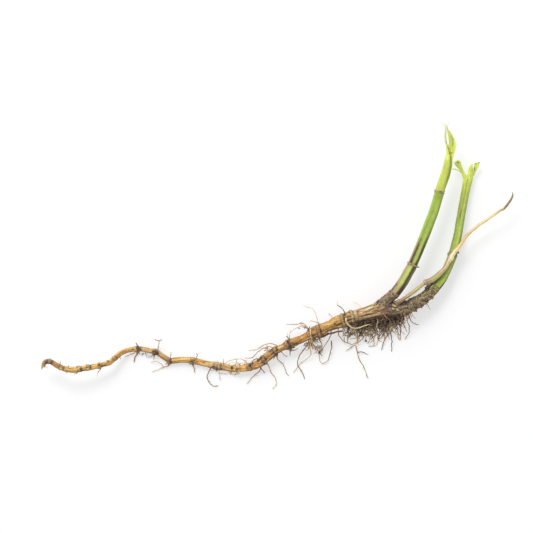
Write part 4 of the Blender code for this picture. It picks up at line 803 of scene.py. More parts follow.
BROWN_ROOTS = (
    (0.85, ((-116.1, -53.9, 9.0), (-115.9, -54.7, 8.7), (-115.9, -55.5, 8.2))),
    (0.56, ((-88.3, -54.5, 7.4), (-88.2, -56.4, 6.0), (-89.7, -58.3, 5.2))),
    (0.51, ((-78.7, -48.8, 3.8), (-78.6, -51.4, 2.6))),
    (0.74, ((-69.6, -46.4, 1.8), (-69.8, -44.6, 3.2), (-70.6, -43.4, 4.0))),
    (0.82, ((-69.6, -46.8, 1.3), (-70.3, -49.2, 0.9), (-71.4, -51.0, 0.6), (-71.9, -53.2, 0.4))),
    (0.71, ((-53.4, -52.4, 1.4), (-54.6, -54.8, 0.9), (-57.1, -55.5, 0.5))),
    (0.61, ((-42.4, -52.3, 1.6), (-42.0, -55.0, 1.0), (-41.4, -58.5, 0.4))),
    (0.61, ((-32.5, -54.5, 1.6), (-34.0, -57.0, 1.5), (-35.1, -60.6, 0.9), (-34.6, -62.4, 0.5),
            (-32.4, -64.9, 0.4), (-29.7, -64.8, 0.4))),
    (0.66, ((-9.4, -52.8, 3.4), (-10.4, -51.2, 4.9), (-12.9, -53.0, 5.0))),
    (0.61, ((-9.0, -53.4, 3.0), (-8.4, -55.8, 2.0), (-6.4, -58.4, 0.9))),
    (0.82, ((6.0, -43.6, 5.2), (5.8, -41.4, 6.6), (4.2, -40.0, 7.6))),
    (0.74, ((16.4, -38.0, 6.8), (15.9, -36.6, 8.6), (16.1, -35.0, 9.6))),
    (0.74, ((33.6, -31.4, 7.8), (33.6, -28.4, 9.8), (32.0, -26.0, 10.8), (29.6, -24.5, 11.0))),
    (0.71, ((16.0, -39.2, 5.6), (14.9, -44.2, 4.2), (10.8, -50.3, 2.0), (10.0, -55.2, 0.8))),
    (0.56, ((10.0, -54.8, 0.8), (12.8, -59.0, 0.4), (13.6, -61.5, 0.4))),
    (0.61, ((20.2, -38.5, 5.8), (21.2, -42.0, 4.4), (22.4, -45.4, 3.2), (21.2, -47.8, 2.6))),
    (0.61, ((26.8, -42.2, 2.8), (27.1, -45.0, 2.4), (26.0, -49.6, 1.4), (25.2, -52.2, 0.9))),
    (0.71, ((36.4, -34.0, 3.0), (35.2, -37.4, 3.8), (35.2, -43.3, 2.7))),
    (0.71, ((55.4, -33.6, 2.8), (55.0, -38.4, 2.2), (53.0, -43.8, 0.9), (52.0, -47.0, 0.4))),
    (0.71, ((54.8, -33.4, 3.2), (55.8, -36.8, 3.6), (57.0, -40.4, 2.2), (57.0, -47.7, 0.4))),
    (0.66, ((57.2, -32.8, 3.0), (58.5, -35.4, 3.0), (60.4, -37.8, 1.6))),
    (0.61, ((65.0, -25.6, 7.0), (65.4, -29.6, 6.8), (67.4, -33.2, 3.2), (70.6, -34.4, 1.4))),
    (0.51, ((39.9, -48.2, 1.2), (42.0, -48.0, 0.8), (45.2, -49.2, 0.4))),
    (0.51, ((52.4, -33.0, 3.0), (52.6, -37.4, 2.8), (51.0, -40.2, 1.6), (50.6, -42.6, 0.8))),
)
GREY_ROOTS = (
    (0.51, ((-108.1, -55.3, 11.3), (-108.0, -53.6, 12.4), (-108.0, -52.4, 12.8))),
    (0.46, ((-88.8, -54.6, 7.6), (-88.9, -52.6, 9.2))),
    (0.46, ((-62.2, -47.8, 1.4), (-62.9, -50.2, 0.7), (-65.3, -50.6, 0.4))),
    (0.61, ((-59.9, -48.4, 1.8), (-59.6, -46.2, 3.4), (-59.4, -44.2, 4.6), (-59.1, -42.1, 5.2))),
    (0.56, ((-61.1, -41.7, 5.4), (-59.1, -42.3, 5.1), (-57.3, -41.5, 5.6))),
    (0.56, ((-53.7, -52.2, 1.8), (-53.4, -50.2, 3.0), (-53.0, -48.2, 4.2))),
    (0.56, ((-41.0, -52.6, 1.8), (-40.6, -51.0, 3.2), (-40.0, -49.6, 4.4), (-40.4, -48.3, 5.2))),
    (0.61, ((-0.6, -47.2, 4.0), (0.1, -51.4, 2.8), (3.2, -54.9, 1.2), (4.3, -58.0, 0.5),
            (5.5, -59.9, 0.4))),
    (0.51, ((1.0, -46.4, 4.2), (2.1, -48.4, 3.0), (4.7, -50.4, 1.8))),
    (0.51, ((5.6, -44.4, 4.6), (6.4, -48.0, 2.8), (6.3, -49.8, 2.0))),
    (0.51, ((6.4, -45.6, 4.0), (7.2, -47.2, 3.0), (10.2, -46.2, 2.4))),
    (0.61, ((16.4, -38.6, 6.4), (15.4, -36.2, 8.0), (12.4, -33.4, 7.8), (9.8, -34.1, 6.8),
            (4.3, -34.2, 5.0))),
    (0.46, ((14.5, -35.4, 8.0), (12.8, -35.3, 7.4), (10.8, -34.7, 7.0))),
    (0.56, ((26.6, -35.6, 6.2), (26.4, -40.0, 4.4), (24.4, -43.4, 3.4), (21.2, -48.2, 2.4))),
    (0.46, ((44.2, -34.6, 2.6), (44.2, -38.9, 2.4), (44.0, -42.6, 1.2))),
    (0.46, ((47.6, -34.0, 2.4), (48.8, -39.0, 1.6), (48.0, -41.6, 0.8), (46.0, -43.5, 0.4))),
    (0.46, ((48.6, -33.6, 2.2), (50.2, -40.6, 1.0), (49.0, -44.8, 0.4), (45.4, -45.2, 0.4))),
    (0.46, ((59.6, -31.4, 2.6), (63.0, -34.2, 1.8), (64.4, -37.4, 0.8))),
    (0.46, ((72.4, -20.8, 6.0), (74.6, -23.8, 3.6), (75.6, -26.2, 2.2))),
    (0.46, ((27.6, -33.8, 6.2), (27.4, -30.6, 4.6), (26.2, -29.4, 2.0), (25.6, -28.8, 0.5))),
)
RED_ROOTS = (
    (1.30, ((19.5, -38.8, 5.6), (21.4, -40.6, 4.8), (25.0, -39.1, 4.2), (29.2, -37.9, 4.0),
            (32.8, -37.5, 3.6))),
    (0.66, ((60.4, -26.6, 9.4), (61.2, -28.2, 11.0), (61.8, -30.6, 9.4), (61.8, -34.0, 5.4),
            (61.4, -38.0, 2.2), (61.4, -41.9, 0.5))),
    (0.61, ((61.4, -26.4, 9.6), (62.6, -27.6, 10.6), (64.0, -30.4, 8.8))),
    (0.61, ((64.4, -26.2, 8.8), (65.0, -28.4, 8.6), (65.4, -31.0, 6.0))),
)
UMBER_ROOTS = (
    (0.70, ((46.6, -31.6, 7.6), (48.2, -33.4, 7.2), (50.4, -34.8, 5.4), (51.0, -37.0, 3.0))),
    (0.62, ((52.4, -30.6, 8.2), (53.6, -32.8, 7.6), (53.0, -35.6, 5.0), (54.2, -38.4, 2.4))),
    (0.56, ((40.6, -33.6, 6.8), (41.8, -36.2, 4.6), (41.2, -39.4, 2.0))),
)
ROOT_COLOURS = {                  # each kind's colour, and the darker one that it is mottled with
    "cream": ((0.74, 0.58, 0.34), (0.52, 0.35, 0.16)),
    "ochre": ((0.52, 0.33, 0.14), (0.27, 0.155, 0.065)),
    "brown": ((0.33, 0.19, 0.090), (0.16, 0.088, 0.045)),
    "grey": ((0.47, 0.34, 0.20), (0.28, 0.18, 0.10)),
    "red": ((0.17, 0.034, 0.028), (0.42, 0.22, 0.12)),
    "umber": ((0.17, 0.12, 0.085), (0.065, 0.045, 0.038)),
}
TANGLES = (                       # x, y, height, reach, roots, heading, spread, longest
    (38.0, -34.6, 2.6, 2.0, 16, -95, 60, 6.0), (42.0, -35.6, 2.6, 2.2, 18, -95, 60, 6.5),
    (46.0, -35.4, 2.6, 2.2, 18, -90, 60, 6.5), (50.0, -35.0, 2.6, 2.2, 16, -90, 60, 6.0),
    (54.0, -34.6, 2.6, 2.2, 16, -85, 60, 6.5), (58.0, -33.6, 2.6, 2.0, 16, -80, 60, 6.0),
    (61.5, -31.0, 4.0, 1.6, 10, -75, 50, 6.0), (64.6, -28.0, 5.0, 1.4, 7, -70, 50, 4.5),
    (17.2, -41.6, 4.4, 1.2, 14, -85, 55, 5.5), (20.6, -40.2, 4.2, 1.0, 8, -80, 50, 5.0),
    (6.2, -45.6, 4.0, 0.9, 8, -80, 65, 3.6), (-0.8, -49.2, 3.2, 0.9, 6, -80, 60, 3.6),
    (-6.6, -53.4, 3.0, 0.9, 6, -80, 60, 3.4), (-22.0, -57.2, 1.4, 2.2, 10, -80, 60, 3.2),
    (-30.4, -56.4, 1.2, 1.0, 9, -100, 65, 3.2), (-19.0, -55.0, 3.0, 4.5, 12, 120, 60, 4.0),
    (-28.0, -54.2, 2.4, 2.0, 8, 100, 70, 3.0), (-4.0, -47.0, 5.2, 2.2, 7, 140, 50, 3.6),
    (-42.6, -53.4, 1.4, 0.7, 5, -90, 60, 2.6), (-54.0, -53.0, 1.2, 0.7, 6, -95, 60, 3.0),
    (-61.2, -49.0, 1.2, 0.8, 7, -95, 60, 3.4), (-69.8, -47.4, 1.0, 0.8, 7, -95, 60, 3.4),
    (-66.0, -48.2, 0.8, 2.0, 6, -110, 40, 2.6), (12.6, -36.0, 7.0, 2.4, 6, 140, 50, 4.0),
    (33.4, -34.4, 4.0, 0.9, 8, -90, 50, 5.5), (15.6, -43.6, 3.4, 2.2, 20, -85, 80, 4.6),
    (20.4, -45.4, 2.8, 1.8, 16, -95, 90, 4.2), (21.0, -48.0, 2.4, 1.2, 10, -90, 180, 3.0),
    (36.0, -38.4, 2.6, 3.0, 20, -90, 80, 5.0), (43.0, -38.6, 2.2, 3.0, 16, -90, 80, 5.0),
    (50.0, -38.6, 2.0, 3.4, 14, -85, 70, 5.0), (56.4, -37.6, 2.2, 2.4, 12, -80, 70, 5.4),
    (40.0, -36.6, 2.0, 3.0, 9, -90, 45, 9.0), (50.0, -36.4, 2.0, 4.0, 9, -90, 45, 9.0),
    (60.4, -33.4, 3.0, 2.4, 9, -85, 40, 10.0),
)
TANGLE_KINDS = ("cream", "ochre", "ochre", "brown", "brown", "brown", "grey", "grey")
TANGLE_THICKNESS = (0.26, 0.56)
CURL_STEP = 1.3                   # mm between the points of a curling root
CURL_TURN = 0.38                  # radians that it mostly turns by at a point
SOIL_THREADS = 210
THREAD_LENGTH = (1.2, 4.0)
THREAD_THICKNESS = (0.18, 0.36)
THREADS_FROM = 1.2                # mm above the table, where threads begin to leave the soil
CROWN_FIBRES = (                  # lanes from and to, in degrees from the top, how many, and kind
    (-88, -58, 14, "red"), (-62, -30, 14, "cream"), (-40, 5, 12, "red"), (-30, 20, 16, "ochre"),
    (0, 34, 14, "cream"), (20, 60, 16, "brown"), (45, 85, 16, "brown"), (-80, 40, 12, "grey"),
)
CROWN_FIBRE_X = (38.0, 62.0)
CROWN_FIBRE_LENGTH = (4.0, 12.0)
CROWN_FIBRE_THICKNESS = (0.22, 0.46)
LANE_START = 9.0                  # mm from the middle, well outside the bark
LANE_WANDER = 1.6                 # degrees that a lane mostly wanders by at a point
FIBRES_AGE = 48.5                 # x beyond which the fibres are old and brown
HAIR_LENGTH = (0.8, 2.6)
HAIR_THICKNESS = 0.17
HAIR_SHARE = 0.22                 # hairs to each millimetre of root


def side_hairs(roots, share, rng):
    """Fine hairs that branch off roots: the share is how many to each millimetre."""
    hairs = []
    for thickness, points in roots:
        for a, b in zip(points, points[1:]):
            a, b = Vector(a), Vector(b)
            for k in range(int((b - a).length * share + rng.random())):
                start = a.lerp(b, rng.random())
                heading = (b - a).normalized()
                heading += Vector([rng.uniform(-1.1, 1.1) for axis in "xyz"])
                tip = start + heading.normalized() * rng.uniform(*HAIR_LENGTH)
                tip.z = max(tip.z, 0.15)
                bend = start.lerp(tip, 0.5) + Vector([rng.uniform(-0.3, 0.3) for axis in "xyz"])
                hairs.append((HAIR_THICKNESS, (tuple(start), tuple(bend), tuple(tip))))
    return hairs


def curling_root(start, heading, length, thickness, rng):
    """A root that wanders off from its start and sinks to the table."""
    points = [tuple(start)]
    count = max(2, round(length / CURL_STEP))
    place, turn = Vector(start), math.radians(heading)
    for i in range(count):
        turn += rng.gauss(0, CURL_TURN)
        sink = -0.45 * max(0.0, place.z - 0.3) * (i + 1) / count + rng.gauss(0, 0.25)
        place = place + spoke(turn) * (length / count)
        place.z = max(0.2, place.z + sink)
        points.append(tuple(place))
    return (thickness, tuple(points))


def bark_lane(first, last, lane, rng):
    """Points on the rootstock's skin between two x along a lane, which wanders a little."""
    points = []
    for i in range(1, len(bark_rows) - 1, 4):
        if first < bark_rows[i][0] < last:
            middle = Vector(bark_rows[i][:3])
            ahead = (Vector(bark_rows[i + 1][:3]) - middle).normalized()
            right = ahead.cross(UP).normalized()
            lane += rng.gauss(0, LANE_WANDER)
            turn = math.radians(lane)
            outward = right * math.sin(turn) + right.cross(ahead) * math.cos(turn)
            outside = middle + outward * LANE_START
            found, spot, *rest = rootstock.ray_cast(outside * MM, -outward)
            if found:
                points.append(tuple(spot / MM + outward * 0.05))
    return points


chance = random.Random(13)
more_roots = {kind: [] for kind in ROOT_COLOURS}
for x, y, height, reach, count, heading, spread, longest in TANGLES:
    for i in range(count):
        start = (x + chance.uniform(-reach, reach), y + chance.uniform(-0.6, 0.8),
                 max(0.3, height + chance.uniform(-1.2, 1.2)))
        length = longest * (0.25 + 0.75 * chance.random() ** 1.5)
        more_roots[chance.choice(TANGLE_KINDS)].append(curling_root(
            start, heading + chance.uniform(-spread, spread), length,
            chance.uniform(*TANGLE_THICKNESS), chance))
soil_spots = [vertex.co / MM for vertex in soil.data.vertices if vertex.co.z > THREADS_FROM * MM]
for i in range(SOIL_THREADS):
    start = chance.choice(soil_spots)
    heading = chance.choice((chance.uniform(-150, -30), chance.uniform(0, 360)))
    thread = curling_root(start, heading, chance.uniform(*THREAD_LENGTH),
                          chance.uniform(*THREAD_THICKNESS), chance)
    more_roots[chance.choice(TANGLE_KINDS)].append(thread)
for low, high, count, kind in CROWN_FIBRES:
    for i in range(count):
        first = chance.uniform(*CROWN_FIBRE_X)
        last = min(first + chance.uniform(*CROWN_FIBRE_LENGTH), CROWN_FIBRE_X[1])
        points = bark_lane(first, last, chance.uniform(low, high), chance)
        if len(points) > 2:
            aged = kind if first < FIBRES_AGE or chance.random() < 0.1 else "umber"
            more_roots[aged].append((chance.uniform(*CROWN_FIBRE_THICKNESS), tuple(points)))
for kind, roots in (("cream", CREAM_ROOTS), ("ochre", OCHRE_ROOTS), ("brown", BROWN_ROOTS),
                    ("grey", GREY_ROOTS), ("red", RED_ROOTS), ("umber", UMBER_ROOTS)):
    hairs = side_hairs(roots, HAIR_SHARE, chance)
    bundle = joined(f"{kind}_rootlets", [
        add_roots("roots", roots, sides=8, wander=0.35, taper=0.45),
        add_roots("tangle", more_roots[kind], sides=6, wander=0.12, taper=0.5),
        add_roots("hairs", hairs, sides=4, wander=0.2, taper=0.4)])
    finish, shader, place = new_finish(f"{kind}_root")
    fresh, aged = ROOT_COLOURS[kind]
    patch = place.grain(0.35, 3.0, 0.6)
    scale = place.grain(2.4, 3.0, 0.6)
    colour = (patch.rise(0.42, 0.62) + 0.5 * scale.rise(0.55, 0.7)).blend(fresh, aged)
    connect(shader, colour, 0.6 + 0.25 * scale, scale, 0.06)
    cover(bundle, finish)
    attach(bundle, "root")
    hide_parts("rhizome", "soil_clump")


# The feet of the stems: woody stumps of bark that grow out of the crown's upper side, wrinkled
# where they swell, with dry bud scales wrapped round them and a pale torn collar at the top.
TALL_FOOT = (                     # x, y, height and diameter along the middle
    (47.6, -27.8, 7.6, 4.6), (49.2, -26.4, 8.0, 5.4), (51.8, -24.2, 8.4, 5.6),
    (54.3, -22.0, 8.7, 5.4), (56.4, -20.2, 8.9, 5.2), (57.6, -19.1, 9.0, 5.5),
    (58.1, -18.6, 9.0, 5.3), (58.4, -18.3, 9.0, 4.6),
)
SHOOT_FOOT = (                    # the same for the withered shoot's foot
    (57.9, -25.2, 8.6, 3.4), (59.2, -23.9, 9.6, 3.2), (60.4, -22.8, 10.4, 2.5),
    (61.0, -22.3, 10.7, 2.2),
)
FEET = (                          # name, rows, mm between rings, and sides
    ("tall_foot", TALL_FOOT, 0.24, 64), ("shoot_foot", SHOOT_FOOT, 0.20, 32),
)
COLLARS = (                       # x, y, height, radius, heading and half breadth of torn sheath rings
    (58.1, -18.7, 9.0, 2.62, 51.0, 0.42), (56.9, -19.8, 8.9, 2.55, 49.0, 0.34),
    (51.0, -25.4, 8.2, 2.75, 42.0, 0.42),
)
SCALES = (                        # base, tip, width, colour
    ((48.6, -24.4, 9.4), (50.4, -21.6, 10.2), 1.5, "purple"),
    ((49.8, -24.4, 9.9), (51.8, -22.0, 10.6), 1.4, "brown"),
    ((46.4, -25.6, 9.3), (49.8, -22.9, 10.2), 2.0, "yellow"),
    ((47.4, -26.1, 10.0), (50.8, -24.3, 10.7), 1.6, "yellow"),
    ((41.6, -28.1, 9.7), (49.0, -24.8, 10.8), 1.3, "cream"),
    ((43.4, -28.6, 10.1), (50.0, -26.6, 10.8), 0.8, "cream"),
    ((58.2, -26.2, 10.4), (61.0, -27.4, 10.8), 1.0, "tan"),
    ((50.4, -26.4, 10.3), (53.4, -25.2, 10.9), 1.1, "tan"),
    ((56.2, -25.8, 10.3), (58.6, -26.8, 11.0), 1.1, "tan"),
    ((57.0, -24.4, 10.6), (59.6, -25.4, 11.2), 1.2, "tan"),
    ((54.6, -25.8, 10.4), (57.2, -27.8, 11.2), 1.8, "brown"),
    ((61.2, -24.8, 9.6), (64.2, -23.6, 10.2), 2.2, "grey"),
    ((58.8, -23.4, 10.4), (61.0, -21.8, 11.2), 1.2, "tan"),
    ((71.4, -20.2, 9.4), (74.2, -18.2, 9.5), 1.4, "green"),
    ((75.8, -16.8, 8.8), (78.0, -14.2, 8.7), 1.4, "green"),
    ((73.4, -16.4, 8.6), (76.0, -14.0, 9.2), 1.8, "purple"),
)
SCALE_COLOURS = {                 # each has veins of a darker and a lighter shade
    "purple": (0.14, 0.070, 0.072), "yellow": (0.45, 0.35, 0.12), "tan": (0.50, 0.35, 0.19),
    "cream": (0.72, 0.60, 0.33), "brown": (0.24, 0.14, 0.075), "grey": (0.060, 0.046, 0.038),
    "green": (0.27, 0.31, 0.06),
}
SCALE_STEPS = 8                   # rows along a bud scale
COLLAR_STEPS = 48                 # rows round a collar
FOOT_BROWN = (0.17, 0.11, 0.062)
FOOT_GREY = (0.40, 0.30, 0.175)
FOOT_OLIVE = (0.25, 0.205, 0.10)
FOOT_DARK = (0.050, 0.034, 0.026)


def foot_relief(place, angle, run, row):
    """Bark that is wrinkled round as well as along, with a crust of dirt."""
    around = spoke(angle) * (row[3] / 2)
    folds = 0.07 * math.sin(run * 3.4 + 2.5 * noise.noise(around * 0.8))
    grooves = 0.24 * noise.noise(around * 1.5 + UP * (run * 0.25))
    return folds + grooves + 0.22 * noise.noise(place * 1.3) + 0.14 * noise.noise(place * 3.4)


foot = joined("stem_feet", [add_skin(name, smooth_rows(rows, step), sides, foot_relief)
                            for name, rows, step, sides in FEET])
finish, shader, place = new_finish("woody_foot")
skin = place.kept("skin", 1)
proud = place.kept("proud")
streaks = skin.stretched(1.0, 1.0, 0.3).grain(1.6, 4.0, 0.6)
dirt = place.grain(1.3, 4.0, 0.65)
colour = painted(
    FOOT_BROWN,
    (streaks.rise(0.44, 0.62), FOOT_GREY),
    (0.6 * place.grain(0.7, 3.0, 0.6).rise(0.50, 0.62), FOOT_OLIVE),
    (0.85 * dirt.rise(0.52, 0.62), FOOT_DARK),
    # painted shade: the grooves of the wrinkles are darkened
    (proud.rise(0.00, -0.24), FOOT_DARK),
)
connect(shader, colour, 0.65 + 0.25 * dirt, streaks + dirt, 0.14)
cover(foot, finish)
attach(foot, "root")
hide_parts("rhizome")


def add_blade(name, rows, thickness, cup, cross=10):
    """A torn strip of wall: rows of a left and a right edge point, cupped between them.

    The middle of the strip stands above its edges by the cup's share of its width.
    """
    bpy.ops.object.select_all(action="DESELECT")
    bpy.ops.mesh.primitive_grid_add(x_subdivisions=cross, y_subdivisions=len(rows) - 1, size=2,
                                    location=(0, 0, 0))
    blade = bpy.context.active_object
    blade.name = name
    for vertex in blade.data.vertices:
        row = rows[round((vertex.co.y + 1) / 2 * (len(rows) - 1))]
        left, right = Vector(row[:3]), Vector(row[3:6])
        across = vertex.co.x
        place = left.lerp(right, (across + 1) / 2)
        place.z += cup * (right - left).length * (1 - across ** 2)
        place += noise.noise_vector(place * 0.8) * 0.08
        vertex.co = place * MM
    bpy.ops.object.mode_set(mode="EDIT")
    bpy.ops.mesh.select_all(action="SELECT")
    bpy.ops.mesh.remove_doubles(threshold=0.00001)
    bpy.ops.mesh.normals_make_consistent(inside=False)
    bpy.ops.object.mode_set(mode="OBJECT")
    wall = blade.modifiers.new("wall", "SOLIDIFY")
    wall.thickness = thickness * MM
    wall.offset = 0.0
    rounding = blade.modifiers.new("rounding", "SUBSURF")
    rounding.levels = rounding.render_levels = 1
    for modifier in list(blade.modifiers):
        bpy.ops.object.modifier_apply(modifier=modifier.name)
    bpy.ops.object.shade_smooth()
    return blade


def add_scale(name, base, tip, width):
    """A bud scale: a pointed leaf with a rounded back, from its base to its tip."""
    base, tip = Vector(base), Vector(tip)
    side = UP.cross(tip - base).normalized()
    rows = []
    for i in range(SCALE_STEPS + 1):
        share = i / SCALE_STEPS
        half = 0.5 * width * (0.55 + 0.9 * share - 1.42 * share ** 2.6)
        middle = base.lerp(tip, share) + UP * (0.5 * math.sin(math.pi * share))
        half *= 1 + 0.25 * noise.noise(middle * 1.3)
        rows.append((*(middle + side * half), *(middle - side * half)))
    return add_blade(name, rows, thickness=0.28, cup=0.22, cross=8)


def add_collar(name, x, y, height, radius, heading, breadth):
    """A torn ring of sheath round a stem, its edge uneven."""
    ahead = spoke(math.radians(heading))
    side = UP.cross(ahead)
    rows = []
    for i in range(COLLAR_STEPS + 1):
        angle = 2 * math.pi * i / COLLAR_STEPS
        out = side * math.cos(angle) + UP * math.sin(angle)
        middle = Vector((x, y, height)) + out * radius
        wave = 0.35 * noise.noise(out * 2.2 + middle * 0.3)
        torn = breadth + 0.7 * breadth * noise.noise(out * 3.4 + Vector((5, 0, 0)))
        rows.append((*(middle + ahead * (wave - torn) - out * 0.12),
                     *(middle + ahead * (wave + torn) + out * 0.14)))
    return add_blade(name, rows, thickness=0.22, cup=0.0, cross=4)


pieces = {colour: [] for colour in SCALE_COLOURS}
for i, (base, tip, width, colour) in enumerate(SCALES):
    pieces[colour].append(add_scale(f"scale_{i}", base, tip, width))
for i, row in enumerate(COLLARS):
    pieces["tan"].append(add_collar(f"collar_{i}", *row))
for name, scales in pieces.items():
    bunch = joined(f"{name}_bud_scales", scales)
    finish, shader, place = new_finish(f"{name}_scale")
    vein = place.grain(2.2, 3.0, 0.6)
    spot = place.grain(5.0, 3.0, 0.6)
    own = SCALE_COLOURS[name]
    dark = [0.45 * channel for channel in own]
    light = [min(1.0, 1.5 * channel + 0.05) for channel in own]
    colour = painted(dark, (vein.rise(0.40, 0.60), own), (0.8 * spot.rise(0.50, 0.62), light))
    connect(shader, colour, 0.6 + 0.3 * vein, vein + 0.7 * spot, 0.16)
    cover(bunch, finish)
    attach(bunch, "root")
    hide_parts("rhizome")


# The tall stem: this year's living stem, four-sided with a groove down each side, wine red on its
# ribs near the ground. A ring marks each joint. Its top is torn off, and the wall hangs in shreds.
TALL_STEM = (                     # x, y, height, diameter, and where a groove faces, in degrees
    (58.1, -18.7, 9.0, 4.9, -18), (59.75, -16.7, 9.1, 4.9, -18), (62.5, -12.8, 9.2, 4.9, -18),
    (64.9, -8.5, 9.4, 4.9, -18), (66.3, -6.1, 9.5, 4.8, -18), (66.9, -4.85, 9.6, 4.8, -12),
    (67.15, -4.4, 9.6, 5.3, -4), (67.4, -3.9, 9.6, 4.8, 4), (67.75, -2.9, 9.7, 4.6, 10),
    (69.85, 2.0, 9.9, 4.6, 12), (73.3, 10.5, 10.4, 4.6, 14), (75.5, 16.4, 10.7, 4.6, 16),
    (77.65, 22.1, 11.0, 4.5, 16), (79.4, 27.8, 11.3, 4.4, 16), (80.15, 30.6, 11.5, 4.4, 16),
    (80.35, 31.3, 11.6, 4.5, 10), (80.45, 31.8, 11.6, 4.9, 0), (80.65, 32.5, 11.7, 4.5, -10),
    (81.6, 35.3, 11.8, 4.4, -14), (83.1, 39.6, 12.0, 4.5, -16), (84.2, 43.2, 12.1, 4.2, -18),
    (84.9, 46.6, 12.2, 3.6, -20), (85.2, 48.8, 12.2, 2.6, -22), (85.4, 50.0, 12.2, 1.2, -22),
)
RIB_DEPTH = 0.34                  # mm from groove to rib
STEM_STEP = 0.32
STEM_SIDES = 56
STEM_GREEN = (0.33, 0.46, 0.050)
PANEL_GREEN = (0.46, 0.58, 0.125)
EDGE_GREEN = (0.200, 0.270, 0.040)
LIME_GREEN = (0.51, 0.57, 0.10)
WINE_RED = (0.080, 0.028, 0.036)
RIB_TAN = (0.38, 0.24, 0.15)
GROOVE_PALE = (0.66, 0.68, 0.30)
# painted shade of the fold in the tall stem's flattened top
FOLD_SHADE_OLIVE = (0.23, 0.31, 0.004)
SHRED_COLOURS = {                 # the light and dark fibres of each torn piece
    "front_wall": ((0.68, 0.74, 0.18), (0.52, 0.62, 0.10)),
    "back_wall": ((0.76, 0.80, 0.17), (0.52, 0.60, 0.05)),
    "torn_edge": ((0.30, 0.17, 0.06), (0.16, 0.08, 0.03)),
    "pale_fibre": ((0.66, 0.76, 0.34), (0.50, 0.64, 0.18)),
    "torn_arm": ((0.75, 0.83, 0.20), (0.51, 0.63, 0.065)),
}
TALL_FRONT = (                    # the torn front wall: left and right edge points
    (82.4, 45.6, 12.0, 86.5, 44.8, 12.0), (82.7, 47.3, 12.1, 86.6, 46.4, 12.1),
    (83.35, 49.3, 12.3, 86.3, 48.7, 12.2), (83.8, 51.2, 12.5, 85.5, 50.8, 12.4),
    (83.9, 53.1, 12.7, 84.9, 52.9, 12.7), (83.6, 55.1, 12.9, 84.3, 55.0, 12.9),
    (83.1, 57.0, 13.0, 83.9, 57.0, 13.0), (82.9, 59.5, 13.1, 83.75, 59.6, 13.1),
    (83.1, 62.0, 13.2, 83.75, 62.1, 13.2), (83.4, 63.9, 13.3, 83.6, 63.9, 13.3),
)
TALL_BACK = (                     # the back wall, which flares to the right
    (83.3, 46.4, 11.4, 86.7, 45.6, 11.6), (83.6, 48.0, 11.5, 86.9, 47.4, 12.0),
    (83.9, 49.8, 11.6, 87.25, 49.2, 12.3), (84.1, 51.8, 11.8, 87.7, 51.2, 12.6),
    (84.3, 53.6, 12.0, 88.1, 53.0, 12.8), (84.8, 55.2, 12.2, 88.3, 54.8, 12.8),
    (85.2, 56.9, 12.4, 88.0, 56.6, 12.8), (85.6, 58.6, 12.6, 87.2, 58.4, 12.8),
    (85.9, 60.2, 12.8, 86.3, 60.1, 12.8),
)
TALL_SHREDS = (                   # the two shreds that the back wall tears into
    ((84.3, 51.6, 12.05, 86.6, 51.2, 12.5), (84.55, 54.0, 12.3, 86.9, 53.8, 12.7),
     (85.0, 56.5, 12.5, 87.0, 56.4, 12.8),
     (84.9, 58.5, 12.7, 86.45, 58.5, 13.0), (84.6, 60.5, 12.9, 85.75, 60.5, 13.2),
     (84.2, 62.5, 13.1, 85.0, 62.6, 13.3), (83.85, 64.0, 13.3, 84.35, 64.1, 13.4),
     (83.65, 65.0, 13.4, 83.9, 65.0, 13.4)),
    ((86.2, 51.4, 12.5, 87.9, 51.0, 12.8), (86.8, 53.8, 12.75, 88.45, 53.6, 13.0),
     (87.35, 55.8, 12.8, 88.5, 55.7, 13.2),
     (86.95, 57.5, 13.0, 88.05, 57.6, 13.3), (86.35, 59.3, 13.1, 87.1, 59.4, 13.4),
     (85.85, 60.8, 13.2, 86.3, 60.9, 13.4), (85.35, 62.0, 13.3, 85.55, 62.1, 13.4)),
)
TALL_WHISKERS = (                 # thickness and points of the loose fibres
    (0.34, ((83.9, 64.3, 13.4), (83.0, 65.6, 13.6), (81.6, 66.7, 13.7))),
    (0.30, ((84.0, 64.6, 13.3), (84.9, 65.8, 13.5), (85.1, 66.6, 13.6))),
    (0.30, ((83.8, 63.6, 13.4), (82.6, 64.6, 13.6), (81.3, 65.9, 13.7))),
    (0.34, ((88.2, 54.9, 13.0), (88.9, 55.1, 13.2), (89.8, 54.6, 13.3))),
    (0.30, ((86.4, 60.0, 13.2), (86.9, 60.5, 13.3), (87.4, 60.3, 13.3))),
    (0.30, ((86.6, 54.0, 13.0), (86.5, 57.0, 13.2), (86.0, 59.6, 13.4), (85.2, 62.4, 13.5))),
    (0.26, ((87.2, 54.4, 13.0), (87.1, 57.2, 13.2), (86.4, 60.0, 13.4))),
    (0.28, ((85.6, 52.4, 12.8), (85.7, 56.0, 13.1), (85.2, 59.6, 13.3), (84.4, 62.8, 13.5))),
    (0.26, ((88.3, 54.6, 13.1), (88.9, 55.6, 13.2), (89.4, 55.5, 13.2))),
)
JOINT_RINGS = (                   # x, y, height, radius, heading and half breadth
    (67.15, -4.4, 9.6, 2.80, 62.0, 0.24), (80.45, 31.8, 11.6, 2.60, 72.0, 0.24),
    (87.25, 0.5, 5.0, 2.48, 72.0, 0.34),
)


def stem_relief(place, angle, run, row):
    """Four ribs with grooves between them, and fine lines along the skin."""
    rib = (1 - math.cos(4 * (angle - math.radians(row[4])))) / 2
    lines = noise.noise(Vector((math.cos(angle) * 6.0, math.sin(angle) * 6.0, run * 0.3)))
    return RIB_DEPTH * rib + 0.05 * lines + 0.08 * noise.noise(place * 0.7)


def past_ring(place, ring):
    """How far along the stem a point is from a joint's ring."""
    turn = math.radians(ring[4])
    return (place.x - ring[0]) * math.cos(turn) + (place.y - ring[1]) * math.sin(turn)


